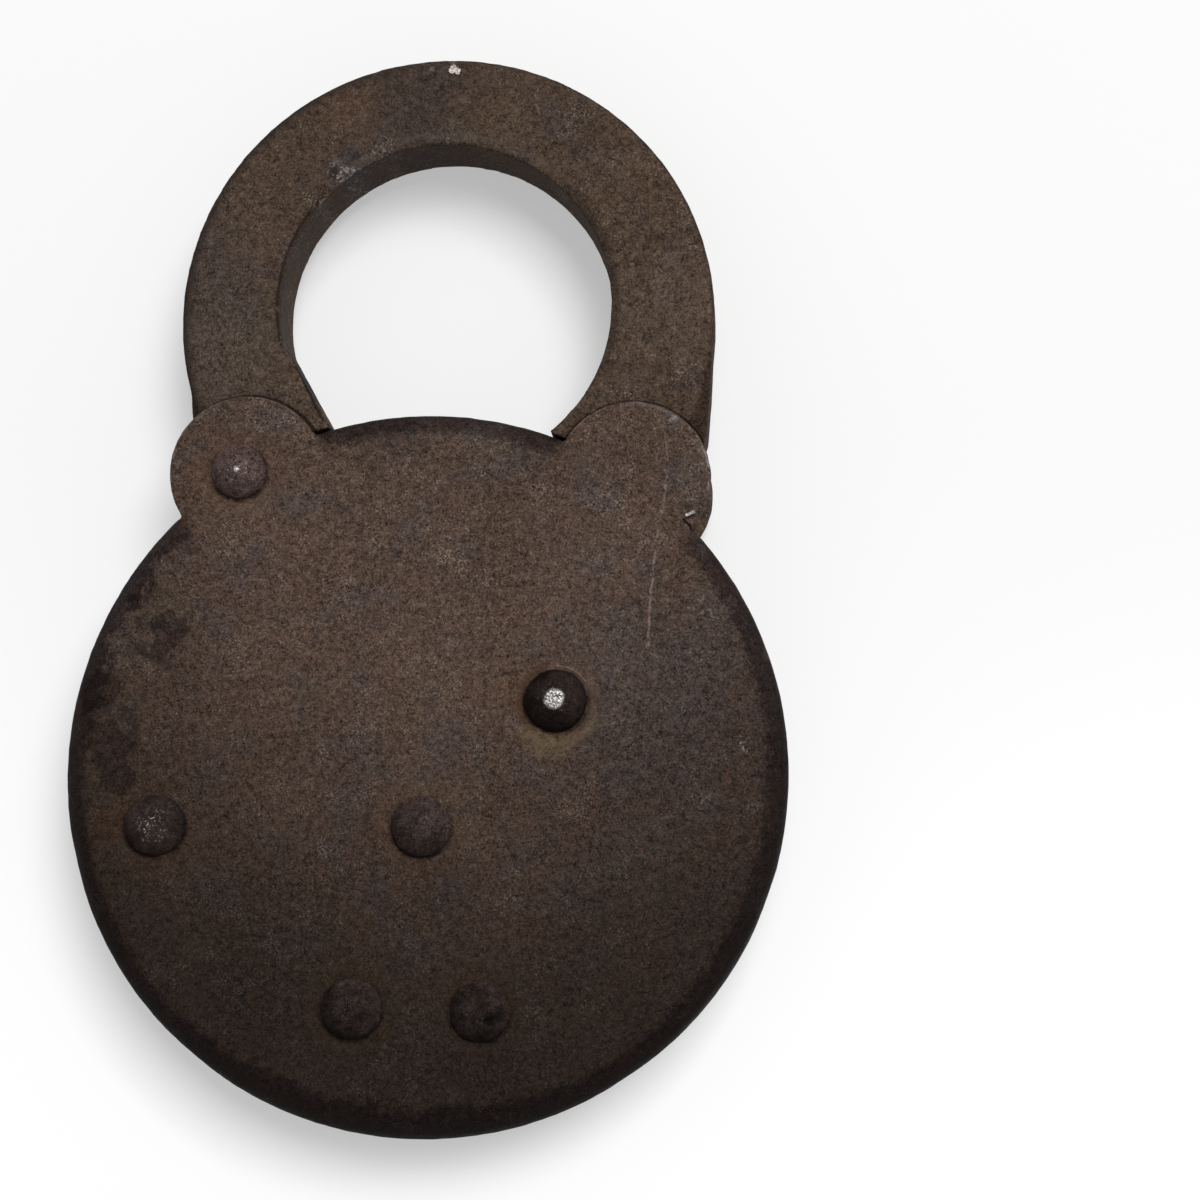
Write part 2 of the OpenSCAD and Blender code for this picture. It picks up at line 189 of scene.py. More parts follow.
class Bench:
    """Steps of hand modelling, each done with Blender's own operators."""

    @staticmethod
    def alone(obj: bpy.types.Object | None = None) -> None:
        """Leaves object mode with only one object, or nothing, selected."""
        if bpy.context.mode != "OBJECT":
            bpy.ops.object.mode_set(mode="OBJECT")
        bpy.ops.object.select_all(action="DESELECT")
        if obj is not None:
            obj.select_set(True)
            bpy.context.view_layer.objects.active = obj

    @staticmethod
    def settle(obj: bpy.types.Object, name: str) -> bpy.types.Object:
        """Names an object and puts its place and turn into its mesh."""
        obj.name = obj.data.name = name
        Bench.alone(obj)
        bpy.ops.object.transform_apply(location=True, rotation=True, scale=True)
        return obj

    @staticmethod
    def cylinder(name: str, place: Place, radius: float, low: float, high: float,
                 sides: int = 192) -> bpy.types.Object:
        """Adds an upright cylinder, in mm.

        Args:
            name: Name of the object.
            place: Middle of the cylinder.
            radius: Its radius.
            low: Height of its lower face.
            high: Height of its upper face.
            sides: Number of sides.

        Returns:
            The cylinder, with its place in its mesh.
        """
        Bench.alone()
        bpy.ops.mesh.primitive_cylinder_add(
            vertices=sides, radius=radius * MM, depth=(high - low) * MM,
            location=(place[0] * MM, place[1] * MM, (low + high) / 2 * MM))
        return Bench.settle(bpy.context.object, name)

    @staticmethod
    def ball(name: str, centre: Sequence[float], radius: float) -> bpy.types.Object:
        """Adds a ball, in mm."""
        Bench.alone()
        bpy.ops.mesh.primitive_uv_sphere_add(
            segments=64, ring_count=48, radius=radius * MM,
            location=[c * MM for c in centre])
        return Bench.settle(bpy.context.object, name)

    @staticmethod
    @contextlib.contextmanager
    def editing(obj: bpy.types.Object, mode: str = "FACE") -> Iterator[None]:
        """Edit mode on one object, with nothing selected at the start.

        Args:
            obj: The object to edit.
            mode: What is picked: VERT, EDGE or FACE.

        Yields:
            Nothing; the caller picks and runs operators.
        """
        Bench.alone(obj)
        bpy.ops.object.mode_set(mode="EDIT")
        bpy.ops.mesh.select_mode(type=mode)
        bpy.ops.mesh.select_all(action="DESELECT")
        yield
        bpy.ops.object.mode_set(mode="OBJECT")

    @staticmethod
    def pick_faces(obj: bpy.types.Object, wanted: Callable[[Vector, Vector], bool]) -> None:
        """Selects the faces whose middle (mm) and normal pass a test."""
        mesh = bmesh.from_edit_mesh(obj.data)
        for face in mesh.faces:
            face.select_set(wanted(face.calc_center_median() / MM, face.normal))
        bmesh.update_edit_mesh(obj.data)

    @staticmethod
    def pick_edges(obj: bpy.types.Object, wanted: Callable[[Vector, Vector], bool]) -> None:
        """Selects the edges whose two ends (mm) pass a test."""
        mesh = bmesh.from_edit_mesh(obj.data)
        for edge in mesh.edges:
            edge.select_set(wanted(edge.verts[0].co / MM, edge.verts[1].co / MM))
        bmesh.update_edit_mesh(obj.data)

    @staticmethod
    def round_rim(obj: bpy.types.Object, height: float, radius: float, steps: int) -> None:
        """Bevels the ring of edges at one height, in mm."""
        with Bench.editing(obj, "EDGE"):
            Bench.pick_edges(obj, lambda a, b: abs(a.z - height) < 0.01 and abs(b.z - height) < 0.01)
            bpy.ops.mesh.bevel(offset=radius * MM, segments=steps, affect="EDGES")

    @staticmethod
    def finish_with(obj: bpy.types.Object, kind: str, **settings: object) -> None:
        """Adds one modifier with its settings and applies it."""
        Bench.alone(obj)
        modifier = obj.modifiers.new(kind.title(), kind)
        for key, value in settings.items():
            setattr(modifier, key, value)
        bpy.ops.object.modifier_apply(modifier=modifier.name)

    @staticmethod
    def cut(obj: bpy.types.Object, tools: Sequence[bpy.types.Object]) -> None:
        """Cuts an object with others, which are used up."""
        for tool in tools:
            Bench.finish_with(obj, "BOOLEAN", object=tool, operation="DIFFERENCE")
            bpy.data.objects.remove(tool)

    @staticmethod
    def gather(obj: bpy.types.Object, others: Sequence[bpy.types.Object]) -> None:
        """Joins closed shells to an object; a skin over them makes them one solid."""
        Bench.alone(obj)
        for other in others:
            other.select_set(True)
        bpy.ops.object.join()

    @staticmethod
    def skin(obj: bpy.types.Object, grain: float, ease: int = 2) -> None:
        """Turns a closed shape into an even skin that can be worn down.

        Args:
            obj: The shape.
            grain: Size of one facet, in mm.
            ease: Passes of smoothing over the new skin.
        """
        Bench.finish_with(obj, "REMESH", mode="VOXEL", voxel_size=grain * MM,
                          use_smooth_shade=True)
        Bench.drop_specks(obj)
        Bench.finish_with(obj, "SMOOTH", factor=0.5, iterations=ease)

    @staticmethod
    def drop_specks(obj: bpy.types.Object) -> None:
        """Deletes the loose specks that a new skin may leave beside its shell."""
        with Bench.editing(obj, "VERT"):
            mesh = bmesh.from_edit_mesh(obj.data)
            max(mesh.verts, key=lambda point: point.co.z).select_set(True)
            bmesh.update_edit_mesh(obj.data)
            bpy.ops.mesh.select_linked()
            bpy.ops.mesh.select_all(action="INVERT")
            bpy.ops.mesh.delete(type="VERT")

    @staticmethod
    def copy_of(node: str, name: str) -> bpy.types.Object:
        """Copies a frame node with its loose triangles merged, to be worn down."""
        source = frame["nodes"][node]
        obj = bpy.data.objects.new(name, source.data.copy())
        bpy.context.scene.collection.objects.link(obj)
        obj.data.materials.clear()
        with Bench.editing(obj):
            bpy.ops.mesh.select_all(action="SELECT")
            bpy.ops.mesh.remove_doubles(threshold=0.002 * MM)
        return obj


class Clay:
    """The points of one mesh, in mm, pushed about by strokes."""

    def __init__(self, obj: bpy.types.Object) -> None:
        """Reads the points and their normals."""
        self.mesh = obj.data
        count = len(self.mesh.vertices)
        flat = np.empty(count * 3)
        self.mesh.vertices.foreach_get("co", flat)
        self.points = flat.reshape(-1, 3) / MM
        flat = np.empty(count * 3)
        self.mesh.vertices.foreach_get("normal", flat)
        self.normals = flat.reshape(-1, 3)

    def from_place(self, place: Place) -> np.ndarray:
        """Flat distance of every point from a place."""
        return np.hypot(self.points[:, 0] - place[0], self.points[:, 1] - place[1])

    def waves(self, size: float, shift: float = 0.0, octaves: int = 2) -> np.ndarray:
        """Cloudy noise about 0, of roughly -1 to 1.

        Args:
            size: Size of one cloud in mm.
            shift: Moves the pattern, so that two of one size differ.
            octaves: Layers of finer detail.

        Returns:
            One value for each point.
        """
        scaled = self.points / size + shift
        return np.fromiter(
            (noise.fractal(Vector(p), 1.0, 2.0, octaves) for p in scaled), float, len(scaled))

    def on_top(self, height: float, depth: float = 0.5) -> np.ndarray:
        """1 for points on an upper face and 0 for points well below it."""
        rising = ease((self.points[:, 2] - height + depth) / (depth * 0.6))
        return rising * ease(self.normals[:, 2] * 2 - 0.4)

    def push(self, amount: np.ndarray) -> None:
        """Moves the points out along their normals."""
        self.points += self.normals * np.asarray(amount)[:, None]

    def lift(self, amount: np.ndarray) -> None:
        """Moves the points straight up."""
        self.points[:, 2] += amount

    def draw_in(self, middle: Place, amount: np.ndarray) -> None:
        """Moves the points flat towards a middle."""
        away = self.points[:, :2] - np.array(middle)
        away /= np.maximum(np.linalg.norm(away, axis=1), 1e-6)[:, None]
        self.points[:, :2] -= away * amount[:, None]

    def keep_inside(self, low: Vector, high: Vector) -> None:
        """Holds every point inside a box given in metres."""
        self.points = np.clip(self.points, np.array(low) / MM, np.array(high) / MM)

    def paint(self, name: str, values: np.ndarray) -> None:
        """Stores one value for each point, for the finish to read."""
        layer = self.mesh.attributes.new(name, "FLOAT", "POINT")
        layer.data.foreach_set("value", np.asarray(values, np.float32))

    def write(self) -> None:
        """Puts the points back into the mesh."""
        self.mesh.vertices.foreach_set("co", (self.points * MM).ravel())
        self.mesh.update()


def ease(value: np.ndarray) -> np.ndarray:
    """Smooth step from 0 at 0 to 1 at 1."""
    held = np.clip(value, 0, 1)
    return held * held * (3 - 2 * held)


def hump(distance: np.ndarray, width: float) -> np.ndarray:
    """Round hump of height 1 at distance 0."""
    return np.exp(-(distance / width) ** 2)


# ---------------------------------------------------------------- Shader maths


class Value:
    """One number, colour or vector in a node tree, with Python's operators for its maths."""

    def __init__(self, tree: "Tree", socket: bpy.types.NodeSocket) -> None:
        """Wraps a socket of a tree."""
        self.tree = tree
        self.socket = socket

    def maths(self, operation: str, *others: "Value | float", first: float | None = None,
              clamp: bool = False) -> "Value":
        """Adds a Math node; first puts a number ahead of this value."""
        terms = [self, *others] if first is None else [first, self]
        node = self.tree.node("Math", {"operation": operation, "use_clamp": clamp},
                              dict(enumerate(terms)))
        return node[0]

    def __add__(self, other: "Value | float") -> "Value":
        """Sum."""
        return self.maths("ADD", other)

    __radd__ = __add__

    def __mul__(self, other: "Value | float") -> "Value":
        """Product."""
        return self.maths("MULTIPLY", other)

    __rmul__ = __mul__

    def __sub__(self, other: "Value | float") -> "Value":
        """Difference."""
        return self.maths("SUBTRACT", other)

    def __rsub__(self, other: float) -> "Value":
        """Number less this value."""
        return self.maths("SUBTRACT", first=other)

    def __truediv__(self, other: "Value | float") -> "Value":
        """Quotient."""
        return self.maths("DIVIDE", other)

    def __rtruediv__(self, other: float) -> "Value":
        """Number over this value."""
        return self.maths("DIVIDE", first=other)

    def held(self) -> "Value":
        """This value kept between 0 and 1."""
        return self.maths("ADD", 0.0, clamp=True)

    def most(self, other: "Value | float") -> "Value":
        """The larger of two."""
        return self.maths("MAXIMUM", other)

    def least(self, other: "Value | float") -> "Value":
        """The smaller of two."""
        return self.maths("MINIMUM", other)

    def ramp(self, low: float, high: float) -> "Value":
        """Smooth step from 0 at low to 1 at high, or falling where high is below low."""
        rising = low < high
        ends = (low, high, 0.0, 1.0) if rising else (high, low, 1.0, 0.0)
        names = ("From Min", "From Max", "To Min", "To Max")
        node = self.tree.node("MapRange", {"interpolation_type": "SMOOTHSTEP"},
                              {"Value": self, **dict(zip(names, ends))})
        return node["Result"]


class Outputs:
    """Outputs of one node, taken by name or number."""

    def __init__(self, tree: "Tree", node: bpy.types.Node) -> None:
        """Wraps a node of a tree."""
        self.tree = tree
        self.node = node

    def __getitem__(self, key: str | int) -> Value:
        """One output as a value."""
        return Value(self.tree, self.node.outputs[key])


class Tree:
    """Node tree of one material, written as expressions."""

    def __init__(self, owner: bpy.types.Material | bpy.types.World) -> None:
        """Empties the tree of a material or a world."""
        self.owner = owner
        self.owner.use_nodes = True
        self.nodes = owner.node_tree.nodes
        self.nodes.clear()

    def node(self, kind: str, settings: dict[str, object], inputs: dict[str | int, object]) -> Outputs:
        """Adds any node.

        Args:
            kind: Type of the node, without its ShaderNode prefix.
            settings: Settings such as a Math node's operation, set first.
            inputs: Values, colours or links, by the name or number of their socket.

        Returns:
            The node's outputs.
        """
        node = self.nodes.new("ShaderNode" + kind)
        for key, value in settings.items():
            setattr(node, key, value)
        for key, value in inputs.items():
            socket = node.inputs[key]
            if isinstance(value, Value):
                self.owner.node_tree.links.new(value.socket, socket)
            elif isinstance(value, tuple) and len(value) == 3 and socket.type == "RGBA":
                socket.default_value = (*value, 1.0)
            else:
                socket.default_value = value
        return Outputs(self, node)

    def place(self) -> Value:
        """Place on the object, in mm."""
        coordinates = self.node("TexCoord", {}, {})["Object"]
        return self.vector("SCALE", coordinates, {"Scale": 1 / MM})

    def vector(self, operation: str, first: "Value | Colour", more: dict[str | int, object]) -> Value:
        """Adds a Vector Math node."""
        return self.node("VectorMath", {"operation": operation}, {0: first, **more})[0]

    def along(self, place: Value, centre: Place, angle: float) -> Value:
        """How far a place lies from a centre in one flat direction, in mm."""
        turn = math.radians(angle)
        moved = self.vector("SUBTRACT", place, {1: (*centre, 0)})
        return self.node("VectorMath", {"operation": "DOT_PRODUCT"},
                         {0: moved, 1: (math.cos(turn), math.sin(turn), 0)})["Value"]

    def axis(self, place: Value) -> tuple[Value, Value, Value]:
        """Splits a place into its three parts."""
        parts = self.node("SeparateXYZ", {}, {0: place})
        return parts["X"], parts["Y"], parts["Z"]

    def cloud(self, place: Value, size: float, detail: float = 2.0, rough: float = 0.5,
              warp: float = 0.0, shift: float = 0.0) -> Value:
        """Noise about 0.5.

        Args:
            place: Where it is read, in mm.
            size: Size of one cloud, in mm.
            detail: Layers of finer detail.
            rough: Strength of the finer layers.
            warp: Distortion of the pattern.
            shift: Moves the pattern, so that two of one size differ.

        Returns:
            The noise, of roughly 0.2 to 0.8.
        """
        moved = self.vector("ADD", place, {1: (shift, shift * 0.7, shift * 1.3)}) if shift else place
        return self.node("TexNoise", {}, {
            "Vector": moved, "Scale": 1 / size, "Detail": detail, "Roughness": rough,
            "Distortion": warp})["Fac"]

    def cells(self, place: Value, size: float) -> Outputs:
        """Cell pattern with one cell each so many mm."""
        return self.node("TexVoronoi", {}, {"Vector": place, "Scale": 1 / size, "Randomness": 1.0})

    def away(self, place: Value, centre: Place) -> Value:
        """Flat distance from a place, in mm."""
        flat = self.vector("MULTIPLY", place, {1: (1, 1, 0)})
        return self.node("VectorMath", {"operation": "DISTANCE"},
                         {0: flat, 1: (*centre, 0)})["Value"]

    def nearest(self, place: Value, first: Place, second: Place) -> Value:
        """Flat distance from the nearer of two places, in mm."""
        return self.away(place, first).least(self.away(place, second))

    def blend(self, below: "Value | Colour", above: "Value | Colour", share: "Value | float",
              how: str = "MIX") -> Value:
        """Lays one colour over another.

        Args:
            below: The lower colour.
            above: The upper colour.
            share: How much of the upper one shows.
            how: Way of blending.

        Returns:
            The blended colour.
        """
        settings = {"data_type": "RGBA", "blend_type": how}
        return self.node("Mix", settings, {0: share, 6: below, 7: above})[2]

    def shade(self, colour: "Value | Colour", by: "Value | float") -> Value:
        """Makes a colour lighter or darker by a factor."""
        return self.vector("SCALE", colour, {"Scale": by})

    def stroke(self, place: Value, line: "Scratch") -> Value:
        """Cover of a scratch or smear that wanders and breaks up."""
        (x, y), (far_x, far_y) = line.start, line.end
        length = math.dist(line.start, line.end)
        angle = math.degrees(math.atan2(far_y - y, far_x - x))
        wander = (self.cloud(place, 1.0, 4, 0.65, shift=44.0) - 0.5) * line.torn
        run = self.along(place, line.start, angle)
        off = self.along(place, line.start, angle + 90) + wander
        ends = run.ramp(0, length * 0.12) * run.ramp(length, length * 0.88)
        broken = self.cloud(place, 0.45, 3, 0.7, shift=21.0).ramp(line.broken, line.broken + 0.14)
        return off.maths("ABSOLUTE").ramp(line.width, line.width * 0.3) * ends * broken * line.strength

    def spot(self, place: Value, mark: "Mark") -> Value:
        """Cover of a soft mark with a torn edge."""
        torn = self.cloud(place, mark.torn, 4, 0.65, shift=12.0) - 0.5
        gap = self.away(place, mark.place) + torn * mark.radius * 1.8
        return gap.ramp(mark.radius, mark.radius * mark.core) * mark.strength

    def arc(self, place: Value, arc: "Arc") -> Value:
        """Cover of part of a ring."""
        torn = self.cloud(place, 0.7, 3, 0.65, shift=33.0) - 0.5
        gap = self.away(place, arc.place)
        band = (gap + torn * arc.torn - arc.radius).maths("ABSOLUTE").ramp(arc.width, 0.0)
        side = self.along(place, arc.place, arc.angle) / gap
        reach = math.cos(math.radians(arc.spread))
        side = (side + torn * 0.6).ramp(reach, reach * 0.5 + 0.5)
        return band * side * arc.strength

    def surface(self, colour: Value, roughness: Value, metal: "Value | float", height: Value,
                bump: float, shine: float) -> bpy.types.Material:
        """Ends the tree in one metal or rust shader.

        Args:
            colour: Base colour.
            roughness: Roughness.
            metal: How much bare metal shows.
            height: Height of the fine relief, in mm.
            bump: Strength of the relief.
            shine: Specular level of the shader.

        Returns:
            The material.
        """
        relief = self.node("Bump", {}, {"Strength": bump, "Distance": MM, "Height": height})["Normal"]
        shader = self.node("BsdfPrincipled", {}, {
            "Base Color": colour, "Roughness": roughness.held(), "Metallic": metal,
            "Specular IOR Level": shine, "Normal": relief})
        self.node("OutputMaterial", {}, {"Surface": shader["BSDF"]})
        return self.owner


# ---------------------------------------------------------------- Finishes


@dataclass(frozen=True)
class Mark:
    """A soft round mark on the surface.

    Attributes:
        place: Its middle, in mm.
        radius: Its size, in mm.
        colour: Its colour.
        strength: How strongly it covers.
        torn: Size of the bites in its edge, in mm.
        core: Share of its radius that is fully covered.
    """

    place: Place
    radius: float
    colour: Colour
    strength: float = 0.6
    torn: float = 1.4
    core: float = 0.3


@dataclass(frozen=True)
class Arc:
    """Part of a ring, such as a dark seam or a bright lip.

    Attributes:
        place: Middle of the ring, in mm.
        radius: Radius of the ring, in mm.
        width: Half the width of the band, in mm.
        angle: Direction of its middle, in degrees.
        spread: Half the angle that it covers.
        colour: Its colour.
        strength: How strongly it covers.
        torn: How far its line wanders, in mm.
    """

    place: Place
    radius: float
    width: float
    angle: float
    spread: float
    colour: Colour
    strength: float = 0.6
    torn: float = 0.3


@dataclass(frozen=True)
class Scratch:
    """A scratch or smear between two places.

    Attributes:
        start: One end, in mm.
        end: The other end, in mm.
        width: Half its width, in mm.
        colour: Its colour.
        strength: How strongly it covers.
        torn: How far its line wanders, in mm.
        broken: How much of it is missing: 0.2 for little and 0.5 for half.
    """

    start: Place
    end: Place
    width: float = 0.16
    colour: Colour = (0.22, 0.165, 0.135)
    strength: float = 0.6
    torn: float = 0.7
    broken: float = 0.44


@dataclass(frozen=True)
class RustySteel:
    """Brown rusted steel: mottled, sandy, pitted and flecked.

    Attributes:
        name: Name of the material.
        warm: Brown of the thin rust.
        cool: Blue-grey scale that shows through in patches.
        pit: Factor of the near black in pits and seams.
        fleck: Pale sand-like flecks.
        ochre: Fresh orange rust.
        grain: Size of the sandy grain, in mm.
        contrast: Strength of the sandy grain.
        flecks: Share of the surface with pale flecks.
        bump: Strength of the fine relief.
        rough: Middle roughness.
        shine: Specular level.
        marks: Soft stains and bare spots.
        arcs: Seams and lips that follow a circle.
        scratches: Scratches and smears.
        scuffs: Places with small bright scuffs.
    """

    name: str
    warm: Colour = (0.079, 0.051, 0.038)
    cool: Colour = (0.066, 0.050, 0.045)
    pit: Colour = (0.16, 0.13, 0.12)
    fleck: Colour = (0.27, 0.21, 0.17)
    ochre: Colour = (0.110, 0.062, 0.034)
    grain: float = 0.18
    contrast: float = 1.35
    flecks: float = 0.55
    bump: float = 0.8
    rough: float = 0.68
    shine: float = 0.04
    marks: tuple[Mark, ...] = ()
    arcs: tuple[Arc, ...] = ()
    scratches: tuple[Scratch, ...] = ()
    scuffs: tuple[Mark, ...] = ()

    def layers(self, tree: Tree, place: Value) -> tuple[Value, Value, Value]:
        """Lays the layers that all rusted pieces share.

        Args:
            tree: Tree of the material.
            place: Place on the piece, in mm.

        Returns:
            The colour, the height of the relief in mm and the roughness.
        """
        patches = tree.cloud(place, 4.2, 3, 0.6, 0.5)
        colour = tree.blend(self.warm, self.cool, patches.ramp(0.46, 0.72) * 0.75)
        tint = tree.cloud(place, 3.1, 3, 0.6, 0.3, shift=31.0)
        colour = tree.blend(colour, self.ochre, tint.ramp(0.56, 0.8) * 0.12)
        broad = tree.cloud(place, 11.0, 2, 0.5, shift=9.0)
        sand = tree.cloud(place, self.grain, 3, 0.7, 0.6)
        coarse = tree.cloud(place, self.grain * 3.6, 3, 0.65, 0.4, shift=5.0)
        curls = tree.cloud(place, self.grain * 2.2, 2, 0.6, 1.2, shift=29.0) - 0.5
        curls = curls.maths("ABSOLUTE").ramp(0.035, 0.0) * (coarse - 0.25)
        cracks = tree.cloud(place, self.grain * 3.2, 3, 0.6, 1.0, shift=37.0) - 0.5
        cracks = cracks.maths("ABSOLUTE").ramp(0.03, 0.0)
        light = (sand - 0.5) * 2.6 + (coarse - 0.5) * 1.3 + curls * 1.9 - cracks * 0.22
        light = light * self.contrast + (broad - 0.5) * 0.5 + 0.92
        colour = tree.shade(colour, light.most(0.2))
        pits = tree.cloud(place, 0.5, 4, 0.65, 0.5, shift=17.0).ramp(0.35, 0.27)
        colour = tree.blend(colour, self.pit, pits * 0.6, "MULTIPLY")
        where = tree.cloud(place, 2.6, 4, 0.7, shift=3.0)
        grains = tree.cloud(place, self.grain * 0.9, 2, 0.6, shift=23.0)
        flecks = (grains + (where - 0.5) * 0.7).ramp(0.68 - self.flecks * 0.1, 0.76 - self.flecks * 0.1)
        colour = tree.blend(colour, self.fleck, flecks * 0.55)
        specks = tree.cells(place, 0.5)["Distance"].ramp(0.24, 0.12) * where.ramp(0.46, 0.6)
        colour = tree.blend(colour, self.fleck, specks * self.flecks)
        edge = tree.node("NewGeometry", {}, {})["Pointiness"]
        worn = (edge + (coarse - 0.5) * 0.06).ramp(0.53, 0.6)
        colour = tree.blend(colour, self.fleck, worn * 0.2)
        hollow = edge.ramp(0.485, 0.43)
        colour = tree.blend(colour, self.pit, hollow * 0.7, "MULTIPLY")
        height = sand * 0.08 + coarse * 0.14 - pits * 0.12 - cracks * 0.05 + flecks * 0.05 + specks * 0.03
        roughness = (coarse - 0.5) * 0.4 - flecks * 0.2 - worn * 0.15 + self.rough
        for mark in self.marks:
            colour = tree.blend(colour, tree.shade(mark.colour, light), tree.spot(place, mark))
        for arc in self.arcs:
            colour = tree.blend(colour, arc.colour, tree.arc(place, arc))
        for scratch in self.scratches:
            line = tree.stroke(place, scratch)
            colour = tree.blend(colour, scratch.colour, line)
            height = height - line * 0.05
        for scuff in self.scuffs:
            near = tree.away(place, scuff.place).ramp(scuff.radius, 0.0)
            bits = tree.cloud(place, scuff.torn, 3, 0.7, 1.5, shift=27.0) + near * 0.14
            bits = bits.ramp(0.65, 0.70) * near.ramp(0.0, 0.3)
            colour = tree.blend(colour, scuff.colour, bits * scuff.strength)
            height = height + bits * 0.06
        return colour, height, roughness


@dataclass(frozen=True)
class CaseFinish(RustySteel):
    """Finish of the back plate, with halos, stains and scratches in their places, and painted contact
    shadows round the rivet heads.

    Attributes:
        layout: Places of the lock's parts.
        torn: Place where the dark of the shoulder reaches far in.
        light_middle: Place where the plate is lightest.
        light_middle_r: Radius where the darkening starts and radius where it is full, in mm.
        black: Share of the colour that is lost where the darkening is full.
    """

    layout: Layout | None = None
    torn: Place = (-26.5, -5.0)
    light_middle: Place = (2.0, 10.0)
    light_middle_r: tuple[float, float] = (14.0, 53.0)
    black: float = 0.74

    def make(self) -> bpy.types.Material:
        """Builds the material."""
        tree = Tree(bpy.data.materials.new(self.name))
        place = tree.place()
        colour, height, roughness = self.layers(tree, place)
        ragged = tree.cloud(place, 1.4, 4, 0.65, shift=12.0) - 0.5
        for node, radius in HEAD_R.items():
            gap = tree.away(place, self.layout.rivets[node]) + ragged * 0.4
            halo = gap.ramp(radius + 2.4, radius + 0.2) * 0.22
            colour = tree.blend(colour, self.ochre, halo)
            # Dark joint round each head plus painted contact shadow, made heavier on the lower side, away
            # from the light.
            shaded_low_side = tree.along(place, self.layout.rivets[node], STRAIGHT_DOWN)
            shaded_low_side = shaded_low_side.ramp(-2.6, 1.2) * 0.75 + 0.25
            seam_and_shadow = gap.ramp(radius + 0.3, radius + 0.02) * (ragged * 3.0 + 0.6).held() * shaded_low_side
            colour = tree.blend(colour, self.pit, seam_and_shadow, "MULTIPLY")
        flake = tree.node("Attribute", {"attribute_name": "flake"}, {})["Fac"]
        lost = (flake + ragged * 1.1).ramp(0.35, 0.72)
        colour = tree.blend(colour, (0.60, 0.57, 0.60), lost, "MULTIPLY")
        height = height - lost * 0.08
        rim = tree.away(place, self.layout.body)
        ears = tree.nearest(place, self.layout.left_ear, self.layout.right_ear)
        wide = tree.away(place, self.torn).ramp(12.0, 4.0)
        torn = tree.cloud(place, 3.4, 5, 0.7, 0.8, shift=14.0) - 0.5
        fine = tree.cloud(place, 0.5, 3, 0.7, shift=19.0) - 0.5
        low = tree.along(place, self.layout.body, BOTTOM).ramp(24.0, 30.0)
        reach = rim + ragged * 1.2 + fine * 1.6 + wide * (torn * 9.0 + 0.6) + low * (ragged * 3.0 + 0.9)
        clear = ears.ramp(self.layout.ear_r - 0.3, self.layout.ear_r + 0.9)
        shoulder = reach.ramp(self.layout.body_r - 2.5, self.layout.body_r - 1.4) * clear
        colour = tree.blend(colour, (0.40, 0.39, 0.44), shoulder, "MULTIPLY")
        outer = rim.ramp(self.layout.body_r - 1.0, self.layout.body_r - 0.1) * clear
        colour = tree.blend(colour, (0.55, 0.5, 0.5), outer, "MULTIPLY")
        lip = (ears + ragged * 0.15).ramp(self.layout.ear_r - 0.32, self.layout.ear_r - 0.1)
        lip = lip * rim.ramp(self.layout.body_r - 0.5, self.layout.body_r + 0.5)
        colour = tree.blend(colour, self.fleck, lip * (ragged * 5.0 + 0.2).held() * 0.4)
        # Darker with distance from a place in the upper middle of the plate.
        fade = tree.away(place, self.light_middle).ramp(*self.light_middle_r) * self.black
        colour = tree.shade(colour, 1.0 - fade)
        return tree.surface(colour, roughness, 0.0, height, self.bump, self.shine)


@dataclass(frozen=True)
class ShackleFinish(RustySteel):
    """Finish of the shackle: olive brown with dark rounded edges, and a dark line round the ears that is
    part dirt and part painted shadow.

    Attributes:
        layout: Places of the lock's parts.
    """

    layout: Layout | None = None

    def make(self) -> bpy.types.Material:
        """Builds the material."""
        tree = Tree(bpy.data.materials.new(self.name))
        place = tree.place()
        colour, height, roughness = self.layers(tree, place)
        ragged = tree.cloud(place, 1.4, 4, 0.65, shift=12.0) - 0.5
        rim = tree.away(place, self.layout.ring) + ragged * 0.3
        edge = rim.ramp(self.layout.ring_r - 0.5, self.layout.ring_r - 0.1)
        colour = tree.blend(colour, (0.6, 0.56, 0.56), edge, "MULTIPLY")
        # Dark line round the ears: dirt in the gap plus painted shadow where the ears' edges shade the
        # shackle.
        ears = tree.nearest(place, self.layout.left_ear, self.layout.right_ear) + ragged * 0.3
        seam_and_shadow = ears.ramp(self.layout.ear_r + 0.36, self.layout.ear_r + 0.24)
        colour = tree.blend(colour, self.pit, seam_and_shadow * 0.8, "MULTIPLY")
        return tree.surface(colour, roughness, 0.0, height, self.bump, self.shine)


@dataclass(frozen=True)
class PlainRust(RustySteel):
    """Rust with no marks of its own."""

    def make(self) -> bpy.types.Material:
        """Builds the material."""
        tree = Tree(bpy.data.materials.new(self.name))
        colour, height, roughness = self.layers(tree, tree.place())
        return tree.surface(colour, roughness, 0.0, height, self.bump, self.shine)


